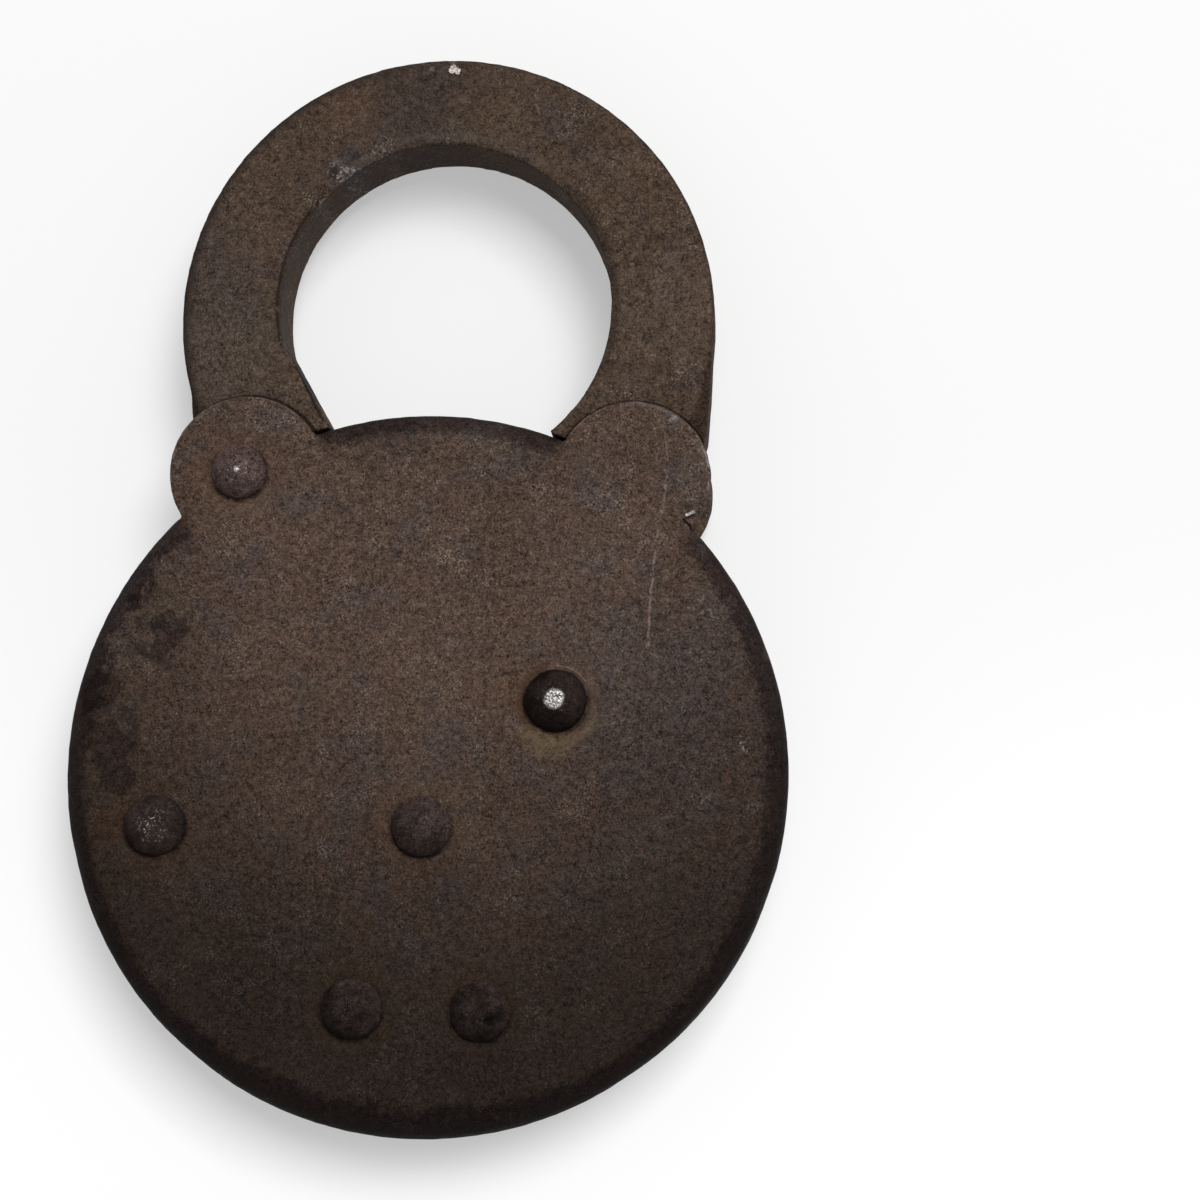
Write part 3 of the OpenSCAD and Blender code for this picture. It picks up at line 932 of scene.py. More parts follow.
@dataclass(frozen=True)
class HeadFinish(RustySteel):
    """Finish of one rivet, whose crown may be worn bare, with painted glints, painted shade on its lower
    left and painted light on its upper right.

    Attributes:
        crown: Middle of the bare spot: x, y and z in mm.
        bare_r: Radius of the bare spot, or 0 for none.
        glints: How strongly bright specks show round the crown: painted glints, made a little metallic
            too.
        bare: Colour of the bare metal, which the painted glints take too.
        tarnish: Colour of the specks that are left on the bare metal.
        tone: How light the rust on the head is.
        soot_and_shade: Share of the colour that is lost on the lower left side: soot plus painted shade on
            the side away from the light.
        glint_r: How far the specks spread from the bare spot, in mm.
        lit_blend: How much its upper right, the side the light comes from, is painted towards the plate's
            tone: painted light.
        plate: How light the plate is round the head.
    """

    crown: tuple[float, float, float] = (0.0, 0.0, 0.0)
    bare_r: float = 0.0
    glints: float = 0.3
    bare: Colour = (0.68, 0.66, 0.64)
    tarnish: Colour = (0.10, 0.092, 0.088)
    tone: float = 1.0
    soot_and_shade: float = 0.5
    glint_r: float = 2.0
    lit_blend: float = 0.0
    plate: float = 1.0

    def make(self) -> bpy.types.Material:
        """Builds the material."""
        tree = Tree(bpy.data.materials.new(self.name))
        place = tree.place()
        colour, height, roughness = self.layers(tree, place)
        uneven = tree.cloud(place, 1.6, 3, shift=4.0) - 0.5
        # Lower left of the head darkened: partly soot, partly painted shade on the side away from the
        # light.
        side = tree.along(place, self.crown[:2], LOWER_LEFT) + uneven * 3.0
        tone = (uneven * 0.8 + self.tone) * (1.0 - side.ramp(-0.4, 2.4) * self.soot_and_shade)
        # Painted light: the upper right of the head, towards the light, is painted towards the plate's
        # tone so that its edge fades out.
        lit_share = tree.along(place, self.crown[:2], UPPER_RIGHT) + uneven * 2.0
        lit_share = lit_share.ramp(0.2, 2.6) * self.lit_blend
        colour = tree.shade(colour, tone + lit_share * (self.plate - tone))
        gap = tree.node("VectorMath", {"operation": "DISTANCE"},
                        {0: place, 1: self.crown})["Value"]
        speckle = tree.cloud(place, 0.2, 3, 0.75, 0.5, shift=6.0)
        clump = tree.cloud(place, 0.9, 2, 0.6, shift=16.0).ramp(0.42, 0.56)
        # Bright specks round the crown are painted glints; they also get some metal and less roughness.
        worn = speckle.ramp(0.56, 0.66) * gap.ramp(self.glint_r, self.glint_r * 0.3) * clump * self.glints
        # The bare spot is worn metal on the dog rivet and a small painted highlight on the shackle rivet.
        if self.bare_r:
            torn = gap + uneven * 0.9 + (speckle - 0.5) * 0.8
            worn = worn.most(torn.ramp(self.bare_r, self.bare_r * 0.75))
        metal = tree.blend(self.tarnish, self.bare, speckle.ramp(0.44, 0.60))
        colour = tree.blend(colour, metal, worn)
        return tree.surface(colour, roughness - worn * 0.32, worn * 0.6, height, self.bump, self.shine)


@dataclass(frozen=True)
class InnerMetal:
    """Oiled metal of the works inside the case.

    Attributes:
        name: Name of the material.
        metal: Colour of the metal.
        stain: Colour of the oil and tarnish over it.
        stained: Share that is stained.
        rough: Middle roughness.
        lines: Strength of the drawn or stamped lines.
    """

    name: str
    metal: Colour
    stain: Colour
    stained: float = 0.5
    rough: float = 0.4
    lines: float = 0.4

    def make(self) -> bpy.types.Material:
        """Builds the material."""
        tree = Tree(bpy.data.materials.new(self.name))
        place = tree.place()
        long = tree.vector("MULTIPLY", place, {1: (0.35, 4.0, 4.0)})
        brushed = tree.cloud(long, 1.0, 3, 0.6)
        clouds = tree.cloud(place, 2.4, 4, 0.6, 0.4)
        fine = tree.cloud(place, 0.4, 3, 0.6, shift=8.0)
        stain = (clouds + (fine - 0.5) * 0.4).ramp(0.62 - self.stained * 0.2, 0.8 - self.stained * 0.2)
        colour = tree.shade(self.metal, brushed * 0.5 + 0.75)
        colour = tree.blend(colour, self.stain, stain)
        specks = tree.cells(place, 0.9)["Distance"].ramp(0.16, 0.08) * clouds.ramp(0.45, 0.6)
        colour = tree.blend(colour, (0.07, 0.032, 0.016), specks)
        roughness = stain * 0.3 + (fine - 0.5) * 0.3 + specks * 0.2 + self.rough
        height = brushed * 0.02 * self.lines + fine * 0.02 - specks * 0.04
        return tree.surface(colour, roughness, 0.9 - stain * 0.55, height, 0.4, 0.4)


# ---------------------------------------------------------------- Worn pieces


class Slot(Enum):
    """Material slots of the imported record."""

    BODY = "body_steel"
    SHACKLE = "shackle_steel"
    RIVET = "rivet_steel"
    INNER = "inner_steel"
    BRASS = "lever_brass"
    SPRING = "spring_steel"


def settle_piece(obj: bpy.types.Object, body: str, slot: Slot, material: bpy.types.Material,
                 *nodes: str) -> None:
    """Dresses a finished piece, ties it to its body and hides the frame nodes that it stands for.

    Args:
        obj: The piece.
        body: Body that it rides on.
        slot: Not used.
        material: Its finish.
        nodes: Frame nodes that it stands for.
    """
    obj.data.materials.clear()
    obj.data.materials.append(material)
    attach(obj, body)
    if nodes:
        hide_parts(*nodes)
    log.info("%s: %d faces on %s", obj.name, len(obj.data.polygons), body)


@dataclass
class Case:
    """The drawn back plate with its two ears, dented and rusted.

    Attributes:
        layout: Places of the lock's parts.
        sheet: Thickness of its steel, in mm.
        shoulder: Outside radius of its drawn shoulder, in mm.
        ear_edge: Rounding of the ears' edges, in mm.
        grain: Facet size of its worn skin, in mm.
        flakes: Places where the scale has flaked off, each with its radius.
        rim_dents: Angles of the dents in the rim, each with its depth and half width.
        smears: Dark smears beside the left rim, each from and to a place with its half width.
        craters: Sunk rings round the rivets: node, radius, depth and half width of each.
        pits: Number of small pits over the plate.
        seed: Seed of their places and sizes.
    """

    layout: Layout
    sheet: float = 1.2
    shoulder: float = 2.5
    ear_edge: float = 0.3
    grain: float = 0.4
    flakes: tuple[tuple[float, float, float], ...] = (
        (-23.4, -4.6, 2.4), (-25.4, -1.9, 1.8), (-28.0, -14.2, 2.8), (-29.4, -10.2, 2.4),
        (-26.4, -17.6, 1.8), (22.9, 6.4, 0.7))
    rim_dents: tuple[tuple[float, float, float], ...] = (
        (196, 0.08, 2.2), (232, 0.06, 3.0), (341, 0.06, 2.2), (305, 0.06, 3.0))
    smears: tuple[tuple[Place, Place, float], ...] = (
        ((-26.2, -3.4), (-20.8, -4.9), 0.8), ((-22.2, 4.3), (-20.3, 2.2), 0.8),
        ((-26.0, -6.0), (-22.0, -8.0), 0.7), ((-29.8, -11.0), (-25.2, -12.2), 0.8),
        ((-25.6, -12.0), (-25.4, -15.9), 0.9))
    craters: tuple[tuple[str, float, float, float], ...] = (
        ("shackle_rivet", 2.9, 0.14, 0.5), ("dog_rivet", 3.5, 0.30, 0.8),
        ("spring_rivet", 3.0, 0.12, 0.5), ("key_post", 2.9, 0.10, 0.5),
        ("lever_rivet_left", 2.9, 0.10, 0.5), ("lever_rivet_right", 2.9, 0.10, 0.5))
    pits: int = 150
    seed: int = 11

    def drawn_cup(self) -> bpy.types.Object:
        """Models the cup: an open cylinder with a rounded shoulder and a wall."""
        place = self.layout
        cup = Bench.cylinder("worn_back_plate", place.body, place.body_r, place.front_z, place.back_z, 256)
        Bench.round_rim(cup, place.back_z, self.shoulder, 8)
        with Bench.editing(cup):
            Bench.pick_faces(cup, lambda middle, normal: normal.z < -0.9)
            bpy.ops.mesh.delete(type="FACE")
        Bench.finish_with(cup, "SOLIDIFY", thickness=self.sheet * MM, offset=-1, use_even_offset=True)
        return cup

    def ears(self) -> list[bpy.types.Object]:
        """Models the two flat ears."""
        made = []
        for name, ear in (("ear_left", self.layout.left_ear), ("ear_right", self.layout.right_ear)):
            low = self.layout.back_z - self.sheet
            disc = Bench.cylinder(name, ear, self.layout.ear_r, low, self.layout.back_z, 96)
            Bench.round_rim(disc, self.layout.back_z, self.ear_edge, 3)
            made.append(disc)
        return made

    def build(self) -> bpy.types.Object:
        """Models the whole plate and wears it down.

        Returns:
            The finished mesh.
        """
        plate = self.drawn_cup()
        roof = self.layout.back_z - self.sheet
        doors = [Bench.cylinder("door", ear, self.layout.ear_r + 0.12, self.layout.front_z - 1, roof, 96)
                 for ear in (self.layout.left_ear, self.layout.right_ear)]
        Bench.cut(plate, doors)
        Bench.gather(plate, self.ears())
        Bench.skin(plate, self.grain)
        self.wear(Clay(plate))
        return plate

    def wear(self, clay: Clay) -> None:
        """Adds waves, craters round the rivets, flaked patches, pits and rim dents."""
        place = self.layout
        top = clay.on_top(place.back_z)
        clay.push(0.035 * clay.waves(1.1) - 0.02)
        clay.lift(top * 0.10 * clay.waves(9.0, 4.0))
        for node, radius, depth, width in self.craters:
            gap = clay.from_place(place.rivets[node])
            clay.lift(-top * depth * hump(gap - radius, width))
            clay.lift(top * depth * 0.4 * hump(gap - radius - 2.0 * width, width))
        flake = np.zeros(len(top))
        for x, y, radius in self.flakes:
            flake = np.maximum(flake, hump(clay.from_place((x, y)), radius))
        lost = ease((flake + 0.55 * clay.waves(2.4, 11.0, 4) - 0.5) / 0.2)
        clay.lift(-top * 0.09 * lost)
        clay.paint("flake", lost * ease(flake * 8))
        draw = np.random.default_rng(self.seed)
        spots = draw.uniform(-1, 1, (self.pits, 2)) * place.body_r + np.array(place.body)
        sizes = draw.uniform(0.35, 0.9, self.pits)
        for spot, size in zip(spots, sizes):
            clay.lift(-top * 0.13 * size * hump(clay.from_place(tuple(spot)), size))
        for angle, depth, width in self.rim_dents:
            turn = math.radians(angle)
            spot = (place.body[0] + place.body_r * math.cos(turn),
                    place.body[1] + place.body_r * math.sin(turn))
            near = hump(clay.from_place(spot), width)
            clay.draw_in(place.body, depth * near)
            clay.lift(-0.8 * depth * near * top)
        clay.points[clay.points[:, 2] < place.front_z + 0.35, 2] = place.front_z
        low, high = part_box("back_plate")
        clay.keep_inside(low, high + Vector((0, 0, 0.4 * MM)))
        clay.write()

    def finish(self) -> CaseFinish:
        """Finish of the plate, with its stains and scratches and a few painted highlights."""
        dog = self.layout.rivets["dog_rivet"]
        ear, ear_r = self.layout.right_ear, self.layout.ear_r
        return CaseFinish(
            name="case_rust",
            layout=self.layout,
            marks=(
                Mark((3.9, 13.6), 2.2, (0.100, 0.088, 0.080), 0.5, 0.8),
                Mark((-4.0, 13.6), 5.0, (0.036, 0.027, 0.024), 0.5),
                Mark((9.0, 12.4), 2.6, (0.040, 0.030, 0.026), 0.4),
                Mark((-20.9, 9.6), 2.2, (0.092, 0.046, 0.026), 0.35),
                Mark((-27.2, -21.6), 2.6, (0.100, 0.046, 0.022), 0.35),
                Mark((-4.6, -21.6), 2.2, (0.075, 0.044, 0.028), 0.25),
                Mark((10.9, -13.6), 2.6, (0.135, 0.095, 0.055), 0.5),
                Mark((7.6, -8.6), 3.0, (0.100, 0.060, 0.038), 0.4),
                Mark((19.0, -10.0), 13.0, (0.062, 0.052, 0.050), 0.4),
                Mark((-23.4, -2.4), 3.4, (0.066, 0.046, 0.032), 0.5),
            ),
            arcs=(
                # Painted highlight: thin bright crescent on the dog rivet's upper right rim.
                Arc(dog, 3.1, 0.13, 62, 30, (0.30, 0.25, 0.22), 0.45, 0.7),
                Arc(dog, 3.0, 0.9, 165, 70, (0.042, 0.022, 0.014), 0.75, 0.9),
                Arc(dog, 2.9, 0.5, 340, 50, (0.046, 0.030, 0.022), 0.6, 0.6),
                Arc(dog, 3.8, 0.8, 275, 70, (0.155, 0.112, 0.070), 0.55, 1.2),
                # Painted highlight: thin light line along the right ear's right edge.
                Arc(ear, ear_r - 0.2, 0.12, 15, 20, (0.40, 0.38, 0.36), 0.5, 0.35),
                Arc(ear, ear_r - 0.3, 0.25, 70, 30, (0.15, 0.135, 0.13), 0.4, 0.6),
            ),
            scratches=(
                Scratch((20.4, 14.0), (20.8, 10.3), strength=0.5),
                Scratch((20.8, 10.6), (19.7, 3.0), strength=0.6),
                Scratch((19.8, 3.4), (19.4, -0.9), 0.18, strength=0.8, broken=0.39),
                Scratch((19.4, -0.5), (19.3, -5.6), 0.19, strength=0.8, broken=0.39),
                Scratch((19.2, -5.4), (21.2, -7.0), strength=0.5),
                Scratch((13.0, -12.9), (18.8, -11.2), 0.2, (0.19, 0.145, 0.10), 0.6),
                Scratch((22.1, 6.2), (23.1, 4.9), 0.16, (0.006, 0.004, 0.004), 1.0, 0.4, 0.1),
                Scratch((22.2, 6.1), (23.3, 6.7), 0.12, (0.010, 0.007, 0.007), 0.9, 0.3, 0.1),
                # Painted highlight: white glint on the chip in the right ear.
                Scratch((22.3, 6.4), (23.2, 6.75), 0.16, (0.80, 0.76, 0.72), 1.0, 0.3, 0.3),
                *(Scratch(start, end, width, (0.030, 0.022, 0.019), 0.75, 2.4, 0.40)
                  for start, end, width in self.smears),
            ),
            scuffs=(
                Mark((24.6, -1.5), 2.8, (0.24, 0.20, 0.18), 0.6, 0.45),
                Mark((24.0, -6.0), 3.2, (0.20, 0.165, 0.15), 0.5, 0.45),
                Mark((27.8, -13.4), 1.5, (0.42, 0.38, 0.36), 0.7, 0.5),
                Mark((24.4, -18.6), 2.2, (0.26, 0.23, 0.21), 0.6, 0.5),
                Mark((28.8, -19.0), 1.6, (0.26, 0.23, 0.21), 0.6, 0.5),
                Mark((20.0, -24.0), 8.0, (0.13, 0.115, 0.105), 0.5, 0.5),
                Mark((20.8, 15.0), 2.2, (0.24, 0.24, 0.245), 0.7, 0.45),
                Mark((6.0, 12.6), 3.2, (0.17, 0.14, 0.12), 0.5, 0.5),
                Mark((-23.2, -3.6), 4.4, (0.17, 0.145, 0.12), 0.5, 0.4),
                Mark((-27.6, -1.2), 4.4, (0.15, 0.14, 0.14), 0.6, 0.4),
                Mark((3.0, -44.5), 5.0, (0.13, 0.11, 0.085), 0.6, 0.6),
            ),
        )


@dataclass
class Shackle:
    """The flat ring shackle, battered at its inner edge.

    Attributes:
        layout: Places of the lock's parts.
        eye_r: Radius of its round eye, in mm.
        grain: Facet size of its worn skin, in mm.
        dents: Places of the battered spots, each with its size and depth.
        flank: Straight edge on the left of the eye, from one place to another.
        streaks: Places of the pale streaks, each with its length.
    """

    layout: Layout
    eye_r: float = 14.8
    grain: float = 0.3
    dents: tuple[tuple[float, float, float, float], ...] = (
        (-8.4, 38.0, 1.5, 0.36), (-10.2, 37.4, 0.9, 0.25), (-6.4, 39.2, 1.1, 0.3),
        (-10.4, 34.9, 0.8, 0.3), (-9.4, 39.2, 0.6, 0.2), (0.4, 47.3, 0.6, 0.2))
    flank: tuple[Place, Place] = ((-14.05, 22.4), (-9.9, 14.2))
    streaks: tuple[tuple[float, float, float], ...] = (
        (19.0, 30.5, 4.0), (20.6, 27.0, 5.0), (17.6, 25.0, 3.5), (21.6, 22.0, 4.0), (8.0, 45.5, 3.0),
        (10.6, 43.0, 2.4), (-17.0, 21.5, 2.6))

    def build(self) -> bpy.types.Object:
        """Wears down a copy of the frame's shackle, with its toe, tail and notch.

        Returns:
            The finished mesh.
        """
        ring = Bench.copy_of("shackle", "worn_shackle")
        Bench.skin(ring, self.grain, 1)
        clay = Clay(ring)
        exposed = ease((clay.points[:, 1] - self.layout.left_ear[1] - 5.0) / 3.0)
        flat = clay.on_top(self.layout.shackle_top, 0.9)
        clay.push(exposed * (0.035 * clay.waves(1.2) - 0.03))
        clay.lift(flat * 0.06 * clay.waves(7.0, 3.0))
        for x, y, size, depth in self.dents:
            near = hump(clay.from_place((x, y)), size)
            clay.lift(-depth * near * flat * (1 + 0.9 * clay.waves(0.8, x)))
        upper = ease((clay.points[:, 1] - self.layout.eye[1] - 4.0) / 5.0)
        rim = hump(np.abs(clay.from_place(self.layout.eye) - self.eye_r - 0.3), 0.6)
        clay.push(-0.16 * upper * flat * rim * (1 + clay.waves(1.2, 8.0)))
        clay.keep_inside(*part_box("shackle"))
        clay.write()
        return ring

    def finish(self) -> ShackleFinish:
        """Finish of the shackle."""
        eye, ring, ring_r = self.layout.eye, self.layout.ring, self.layout.ring_r
        return ShackleFinish(
            name="shackle_rust",
            layout=self.layout,
            warm=(0.065, 0.043, 0.030),
            cool=(0.052, 0.038, 0.034),
            contrast=1.25,
            flecks=0.45,
            marks=(
                Mark((-3.0, 43.0), 6.5, (0.036, 0.027, 0.024), 0.7),
                Mark((2.0, 45.0), 9.0, (0.050, 0.034, 0.026), 0.5),
                Mark((-9.0, 43.5), 4.0, (0.076, 0.045, 0.028), 0.45),
                Mark((-16.0, 36.0), 5.0, (0.076, 0.049, 0.033), 0.5),
                Mark((-20.0, 28.0), 6.0, (0.050, 0.037, 0.032), 0.5),
                Mark((6.0, 42.0), 4.0, (0.085, 0.056, 0.034), 0.4),
                Mark((17.0, 36.0), 5.0, (0.085, 0.056, 0.036), 0.35),
                Mark((20.5, 25.0), 7.0, (0.102, 0.070, 0.052), 0.6),
                Mark((-19.0, 22.0), 7.0, (0.072, 0.056, 0.046), 0.5),
                Mark((-8.6, 37.9), 2.6, (0.052, 0.043, 0.042), 0.75, 0.8),
                Mark((-9.9, 37.4), 0.8, (0.018, 0.013, 0.012), 0.7, 0.4),
                Mark((-8.0, 38.9), 0.6, (0.018, 0.013, 0.012), 0.7, 0.4),
                Mark((-1.4, 47.0), 0.35, (0.18, 0.13, 0.11), 0.6, 0.4),
                Mark((0.6, 47.1), 0.5, (0.70, 0.60, 0.56), 1.0, 0.45, 0.7),
                Mark((0.95, 46.8), 0.3, (0.60, 0.52, 0.48), 0.9, 0.35, 0.7),
            ),
            arcs=(
                Arc(eye, self.eye_r + 0.3, 0.28, 168, 34, (0.014, 0.010, 0.009), 0.9, 0.15),
                Arc(ring, ring_r - 0.2, 1.3, 165, 80, (0.022, 0.016, 0.014), 0.7, 1.2),
                Arc(eye, self.eye_r + 0.8, 0.6, 88, 48, (0.120, 0.098, 0.080), 0.3, 1.4),
                Arc(eye, self.eye_r + 0.5, 0.6, 15, 40, (0.024, 0.017, 0.016), 0.5, 0.6),
            ),
            scratches=(
                Scratch(*self.flank, 0.2, (0.014, 0.010, 0.009), 0.9, 0.3, 0.2),
                *(Scratch((x, y), (x + 0.6, y - length), 0.13, (0.17, 0.13, 0.10), 0.5, 1.2)
                  for x, y, length in self.streaks),
            ),
            scuffs=(
                Mark((-8.8, 37.6), 2.6, (0.24, 0.21, 0.20), 0.9, 0.5),
                Mark((-5.6, 39.8), 2.4, (0.20, 0.17, 0.155), 0.8, 0.4),
                Mark((-11.2, 34.6), 1.6, (0.20, 0.17, 0.155), 0.7, 0.4),
                Mark((0.0, 41.0), 2.6, (0.17, 0.14, 0.12), 0.6, 0.4),
                Mark((19.6, 28.0), 6.0, (0.15, 0.115, 0.09), 0.6, 0.6),
                Mark((-14.3, 20.6), 2.4, (0.16, 0.13, 0.11), 0.6, 0.5),
            ),
        )


class Crown(Enum):
    """How a rivet's crown is worn and lit: radius of its bare spot, share of painted glint specks, and
    share of soot and painted shade.
    """

    PLAIN = (0.0, 0.12, 0.4)
    PIP = (0.0, 0.10, 0.30)
    BARE = (1.0, 0.2, 0.6)
    # POINT: a small bright spot on the apex, which is a painted highlight.
    POINT = (0.3, 0.35, 0.30)
    # Many bright specks round the crown: scraped metal and painted glints.
    SCRAPED = (0.0, 0.9, 0.35)


@dataclass
class Rivet:
    """One hammered rivet, with its shank and both heads.

    Attributes:
        node: Frame node that it stands for.
        layout: Places of the lock's parts.
        shank_r: Radius of the shank, in mm.
        crown: How its crown is worn.
        tone: How light its rust is.
        lit_blend: How much its upper right, the side the light comes from, is painted towards the plate's
            tone: painted light.
        plate: How light the plate is round it.
        body: Body that it rides on.
        grain: Facet size of its worn skin, in mm.
    """

    node: str
    layout: Layout
    shank_r: float
    crown: Crown = Crown.PLAIN
    tone: float = 0.8
    lit_blend: float = 0.0
    plate: float = 1.0
    body: str = "case_body"
    grain: float = 0.2

    @property
    def head_r(self) -> float:
        """Radius of the head on the back, in mm."""
        return HEAD_R[self.node]

    def dome(self, base: float, height: float, up: int) -> bpy.types.Object:
        """Models one head: a ball cut flat at its seat.

        Args:
            base: Height of its seat, in mm.
            height: How far it stands out, in mm.
            up: 1 for a head on the back and -1 for one on the front.

        Returns:
            The closed dome.
        """
        radius = (self.head_r ** 2 + height ** 2) / (2 * height)
        x, y = self.layout.rivets[self.node]
        head = Bench.ball(f"{self.node}_head", (x, y, base + up * (height - radius)), radius)
        with Bench.editing(head):
            bpy.ops.mesh.select_all(action="SELECT")
            bpy.ops.mesh.bisect(plane_co=(0, 0, (base - up * 0.15) * MM), plane_no=(0, 0, up),
                                use_fill=True, clear_inner=True)
        return head

    def build(self) -> bpy.types.Object:
        """Models the rivet and wears its heads.

        Returns:
            The finished mesh.
        """
        place = self.layout
        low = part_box(self.node)[0].z / MM
        top = place.tops[self.node]
        x, y = place.rivets[self.node]
        shank_low = max(low, place.front_z)
        rivet = Bench.cylinder(f"worn_{self.node}", (x, y), self.shank_r, shank_low, place.back_z, 64)
        heads = [self.dome(place.back_z, top - place.back_z, 1)]
        if low < place.front_z - 0.1:
            heads.append(self.dome(place.front_z, place.front_z - low, -1))
        Bench.gather(rivet, heads)
        Bench.skin(rivet, self.grain, 1)
        clay = Clay(rivet)
        outside = ease((clay.points[:, 2] - place.back_z + 0.4) / 0.6)
        seed = x + 2 * y
        clay.push(outside * (0.06 * clay.waves(1.1, seed) - 0.05))
        clay.draw_in((x, y), outside * (0.12 * clay.waves(3.0, seed) + 0.04))
        if self.crown is Crown.PIP:
            clay.lift(-0.12 * outside * hump(clay.from_place((x, y - 0.8)) - 0.9, 0.3))
        if self.crown is Crown.BARE:
            clay.lift(-0.1 * outside * hump(clay.from_place((x, y)), 0.3))
        clay.keep_inside(*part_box(self.node))
        clay.write()
        return rivet

    def finish(self) -> HeadFinish:
        """Finish of the rivet, worn bare on its crown where the real one is, with painted glints, painted
        shade on its lower side and painted light on its upper right.
        """
        x, y = self.layout.rivets[self.node]
        top = self.layout.tops[self.node]
        bare_r, glints, soot_and_shade = self.crown.value
        seam_and_shadow = self.head_r - 0.1
        return HeadFinish(
            name=f"{self.node}_rust", crown=(x, y, top), bare_r=bare_r, glints=glints, soot_and_shade=soot_and_shade,
            lit_blend=self.lit_blend, plate=self.plate,
            tone=self.tone, warm=(0.080, 0.052, 0.046), cool=(0.070, 0.049, 0.048), rough=0.66,
            flecks=0.35,
            # Dark joint round the head; the stronger lower arc is also painted shade, and the upper right
            # arc fades where that side is painted light.
            arcs=(Arc((x, y), seam_and_shadow, 0.3, 20, 60, (0.015, 0.010, 0.010), 0.7 * (1.0 - self.lit_blend), 0.2),
                  Arc((x, y), seam_and_shadow, 0.35, 265, 75, (0.012, 0.008, 0.008), 0.7, 0.4)),
            scuffs=(Mark((x - 1.6, y + 0.2), 1.8, (0.16, 0.14, 0.13), 0.7, 0.35),))


@dataclass
class FrontPlate:
    """The front plate with its keyhole, and the cover that hangs over it.

    Attributes:
        grain: Facet size of the front plate's worn skin, in mm.
        pieces: Node, body, slot and share of that facet size, for each piece.
    """

    grain: float = 0.42
    pieces: tuple[tuple[str, str, Slot, float], ...] = (
        ("front_plate", "case_body", Slot.BODY, 1.0),
        ("keyhole_cover", "cover_body", Slot.BODY, 0.7),
        ("cover_rivet", "case_body", Slot.RIVET, 0.35))

    @staticmethod
    def worn(node: str, grain: float) -> bpy.types.Object:
        """Wears down a copy of a frame node.

        Args:
            node: The node.
            grain: Facet size, in mm.

        Returns:
            The finished mesh.
        """
        plate = Bench.copy_of(node, f"worn_{node}")
        Bench.skin(plate, grain, 1)
        clay = Clay(plate)
        clay.push(0.03 * clay.waves(1.3) - 0.02)
        clay.keep_inside(*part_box(node))
        clay.write()
        return plate

    def build(self) -> None:
        """Builds and dresses every piece."""
        for node, body, slot, share in self.pieces:
            finish = PlainRust(name=f"{node}_rust")
            settle_piece(self.worn(node, self.grain * share), body, slot, finish.make(), node)


class Works:
    """The levers, springs, dog and washers inside, which keep their frame meshes."""

    FINISHES = {
        Slot.INNER: InnerMetal("inner_steel_oiled", (0.32, 0.29, 0.26), (0.075, 0.045, 0.028), 0.7, 0.42),
        Slot.BRASS: InnerMetal("lever_brass_dull", (0.55, 0.40, 0.17), (0.13, 0.085, 0.035), 0.6, 0.36),
        Slot.SPRING: InnerMetal("spring_blued", (0.20, 0.19, 0.19), (0.07, 0.04, 0.026), 0.4, 0.34, 0.8),
    }

    def dress(self) -> None:
        """Gives every inner node its finish."""
        made = {slot: finish.make() for slot, finish in self.FINISHES.items()}
        for name, obj in frame["nodes"].items():
            if obj.hide_render:
                continue
            slot = self.slot_of(name)
            obj.data.materials.clear()
            obj.data.materials.append(made[slot])
            log.info("%s: dressed as %s", name, slot.value)

    @staticmethod
    def slot_of(name: str) -> Slot:
        """Slot of an inner node, by its name."""
        if "spring" in name:
            return Slot.SPRING
        return Slot.BRASS if name.startswith("lever") else Slot.INNER


# ---------------------------------------------------------------- Floor, light and camera


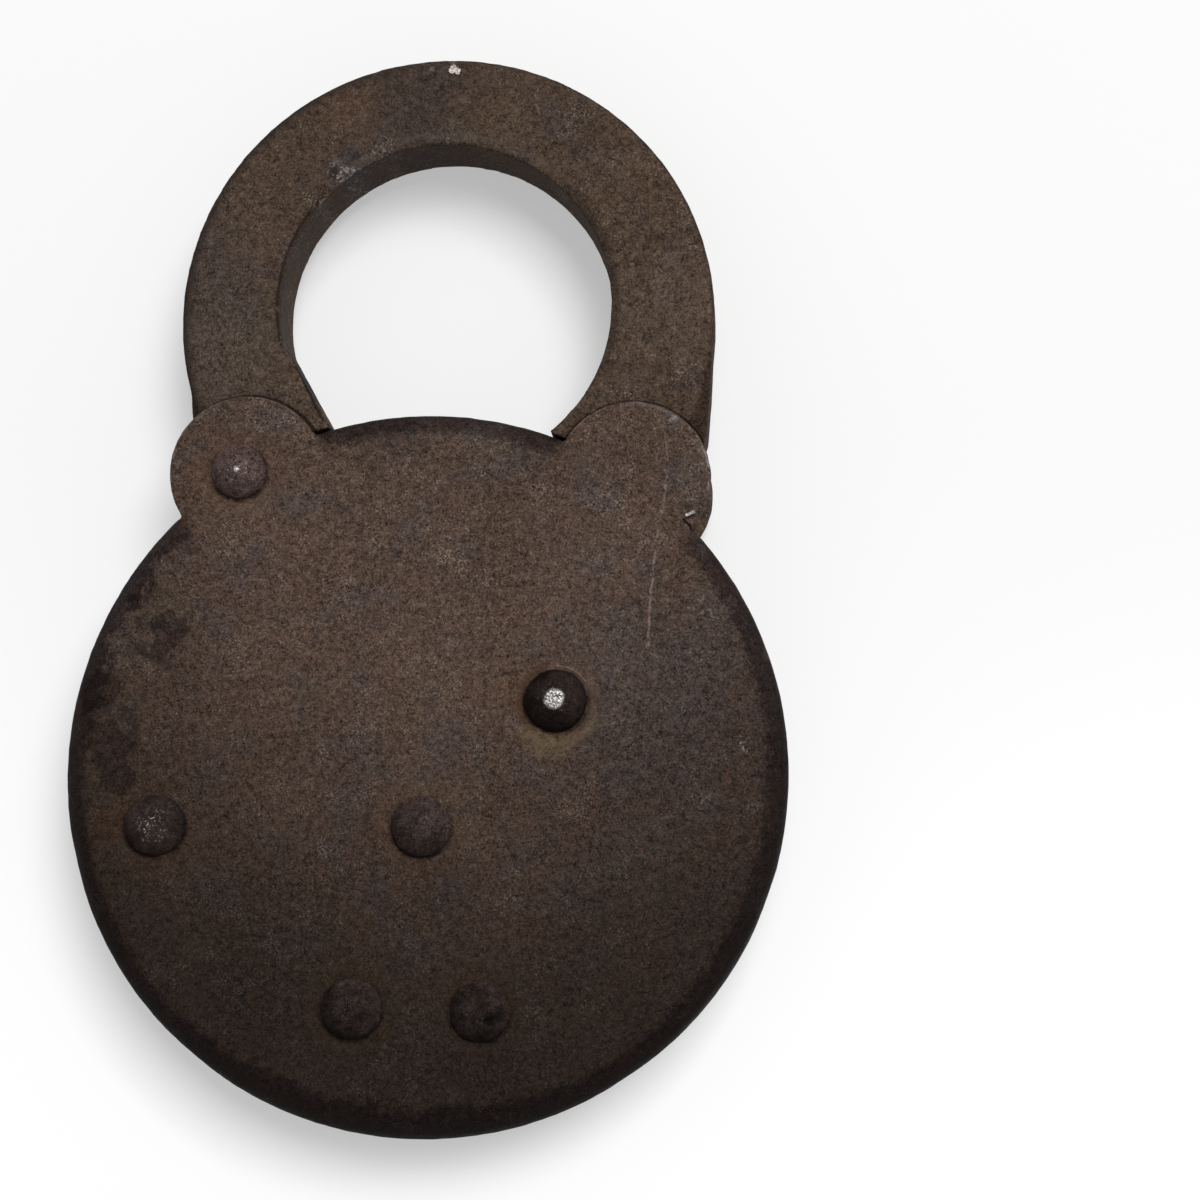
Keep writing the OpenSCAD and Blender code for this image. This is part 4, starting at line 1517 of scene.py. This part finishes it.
@dataclass
class Studio:
    """Pale floor, soft light from the upper right and a camera that looks down.

    Attributes:
        camera: Place of the camera, in mm.
        look: Direction in which it looks.
        up: Direction that is up in its picture.
        lens: Focal length on a 36 mm sensor.
        sky: Strength of the even light all round.
        lamp: Power of the soft lamp in watts.
        lamp_place: Place of the lamp, in mm.
        lamp_size: Side of the lamp, in mm.
        lift: How far the floor is lifted to white where it is seen.
        white: Strength of the white that the camera sees.
    """

    camera: tuple[float, float, float] = (29.4, -34.44, 266.3)
    look: tuple[float, float, float] = (-0.0561, 0.1299, -0.9899)
    up: tuple[float, float, float] = (-0.0167, 0.9912, 0.131)
    lens: float = 88.03
    sky: float = 0.34
    lamp: float = 16.2
    lamp_place: tuple[float, float, float] = (330.0, 390.0, 1240.0)
    lamp_size: float = 600.0
    lift: float = 0.42
    white: float = 0.95

    def build(self, floor_z: float) -> None:
        """Sets the floor, the light and the camera.

        Args:
            floor_z: Height of the floor, in metres.
        """
        scene = bpy.context.scene
        scene.view_settings.view_transform = "Standard"
        self.floor(floor_z)
        scene.world = self.air()
        light = bpy.data.lights.new("soft_lamp", "AREA")
        light.energy = self.lamp
        light.size = self.lamp_size * MM
        lamp = bpy.data.objects.new("soft_lamp", light)
        lamp.location = Vector(self.lamp_place) * MM
        lamp.rotation_euler = (-lamp.location).to_track_quat("-Z", "Y").to_euler()
        scene.collection.objects.link(lamp)
        lens = bpy.data.cameras.new("camera")
        lens.lens = self.lens
        lens.clip_start = 0.01
        camera = bpy.data.objects.new("camera", lens)
        ahead = Vector(self.look).normalized()
        right = ahead.cross(Vector(self.up)).normalized()
        turn = Matrix((right, right.cross(ahead), -ahead)).transposed()
        camera.matrix_world = Matrix.Translation(Vector(self.camera) * MM) @ turn.to_4x4()
        scene.collection.objects.link(camera)
        scene.camera = camera

    @staticmethod
    def seen(tree: Tree) -> Value:
        """1 where the camera looks, directly or by way of gloss or glass."""
        rays = tree.node("LightPath", {}, {})
        return rays["Is Camera Ray"].most(rays["Is Glossy Ray"]).most(rays["Is Transmission Ray"])

    def air(self) -> bpy.types.World:
        """Even light all round, white where it is seen."""
        world = bpy.data.worlds.new("soft_sky")
        tree = Tree(world)
        soft = tree.node("Background", {}, {"Color": (1, 1, 1), "Strength": self.sky})
        white = tree.node("Background", {}, {"Color": (1, 1, 1), "Strength": self.white})
        mixed = tree.node("MixShader", {}, {0: self.seen(tree), 1: soft[0], 2: white[0]})
        tree.node("OutputWorld", {}, {"Surface": mixed[0]})
        return world

    def floor(self, height: float) -> None:
        """Lays the pale floor, painted lighter towards the bottom."""
        Bench.alone()
        bpy.ops.mesh.primitive_plane_add(size=3.0, location=(0, 0, height))
        floor = Bench.settle(bpy.context.object, "floor")
        tree = Tree(bpy.data.materials.new("pale_floor"))
        place = tree.place()
        # Painted light: the floor's colour grows lighter towards the bottom, with a faint cloudy tint.
        tint = tree.cloud(place, 90.0, 2) * 0.01 + tree.axis(place)[1].ramp(20.0, -40.0) * 0.12 + 0.835
        colour = tree.node("CombineColor", {}, {0: tint, 1: tint, 2: tint})["Color"]
        shader = tree.node("BsdfPrincipled", {}, {
            "Base Color": colour, "Roughness": 0.9, "Specular IOR Level": 0.1})
        white = tree.node("Emission", {}, {"Color": (1, 1, 1), "Strength": self.white})
        share = self.seen(tree) * self.lift
        mixed = tree.node("MixShader", {}, {0: share, 1: shader["BSDF"], 2: white["Emission"]})
        tree.node("OutputMaterial", {}, {"Surface": mixed[0]})
        floor.data.materials.append(tree.owner)


# ---------------------------------------------------------------- The whole lock


def main() -> None:
    """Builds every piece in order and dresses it."""
    layout = Layout.read(tuple(HEAD_R))
    case = Case(layout)
    settle_piece(case.build(), "case_body", Slot.BODY, case.finish().make(), "back_plate")
    shackle = Shackle(layout)
    settle_piece(shackle.build(), "shackle_body", Slot.SHACKLE, shackle.finish().make(), "shackle")
    rivets = (
        Rivet("shackle_rivet", layout, 2.0, Crown.POINT, 0.98),
        Rivet("dog_rivet", layout, 1.75, Crown.BARE, 0.20, 0.25, 0.5),
        Rivet("spring_rivet", layout, 1.75, Crown.SCRAPED, 0.34, 0.3, 0.5),
        Rivet("key_post", layout, 1.75, Crown.PIP, 0.46, 0.8, 0.66),
        Rivet("lever_rivet_left", layout, 1.75, Crown.PLAIN, 0.23, 1.0, 0.42),
        Rivet("lever_rivet_right", layout, 1.75, Crown.PLAIN, 0.22, 0.9, 0.38),
    )
    for rivet in rivets:
        settle_piece(rivet.build(), rivet.body, Slot.RIVET, rivet.finish().make(), rivet.node)
    FrontPlate().build()
    Works().dress()
    Studio().build(CAD_BOX[0].z)


if __name__ == "__main__":
    main()
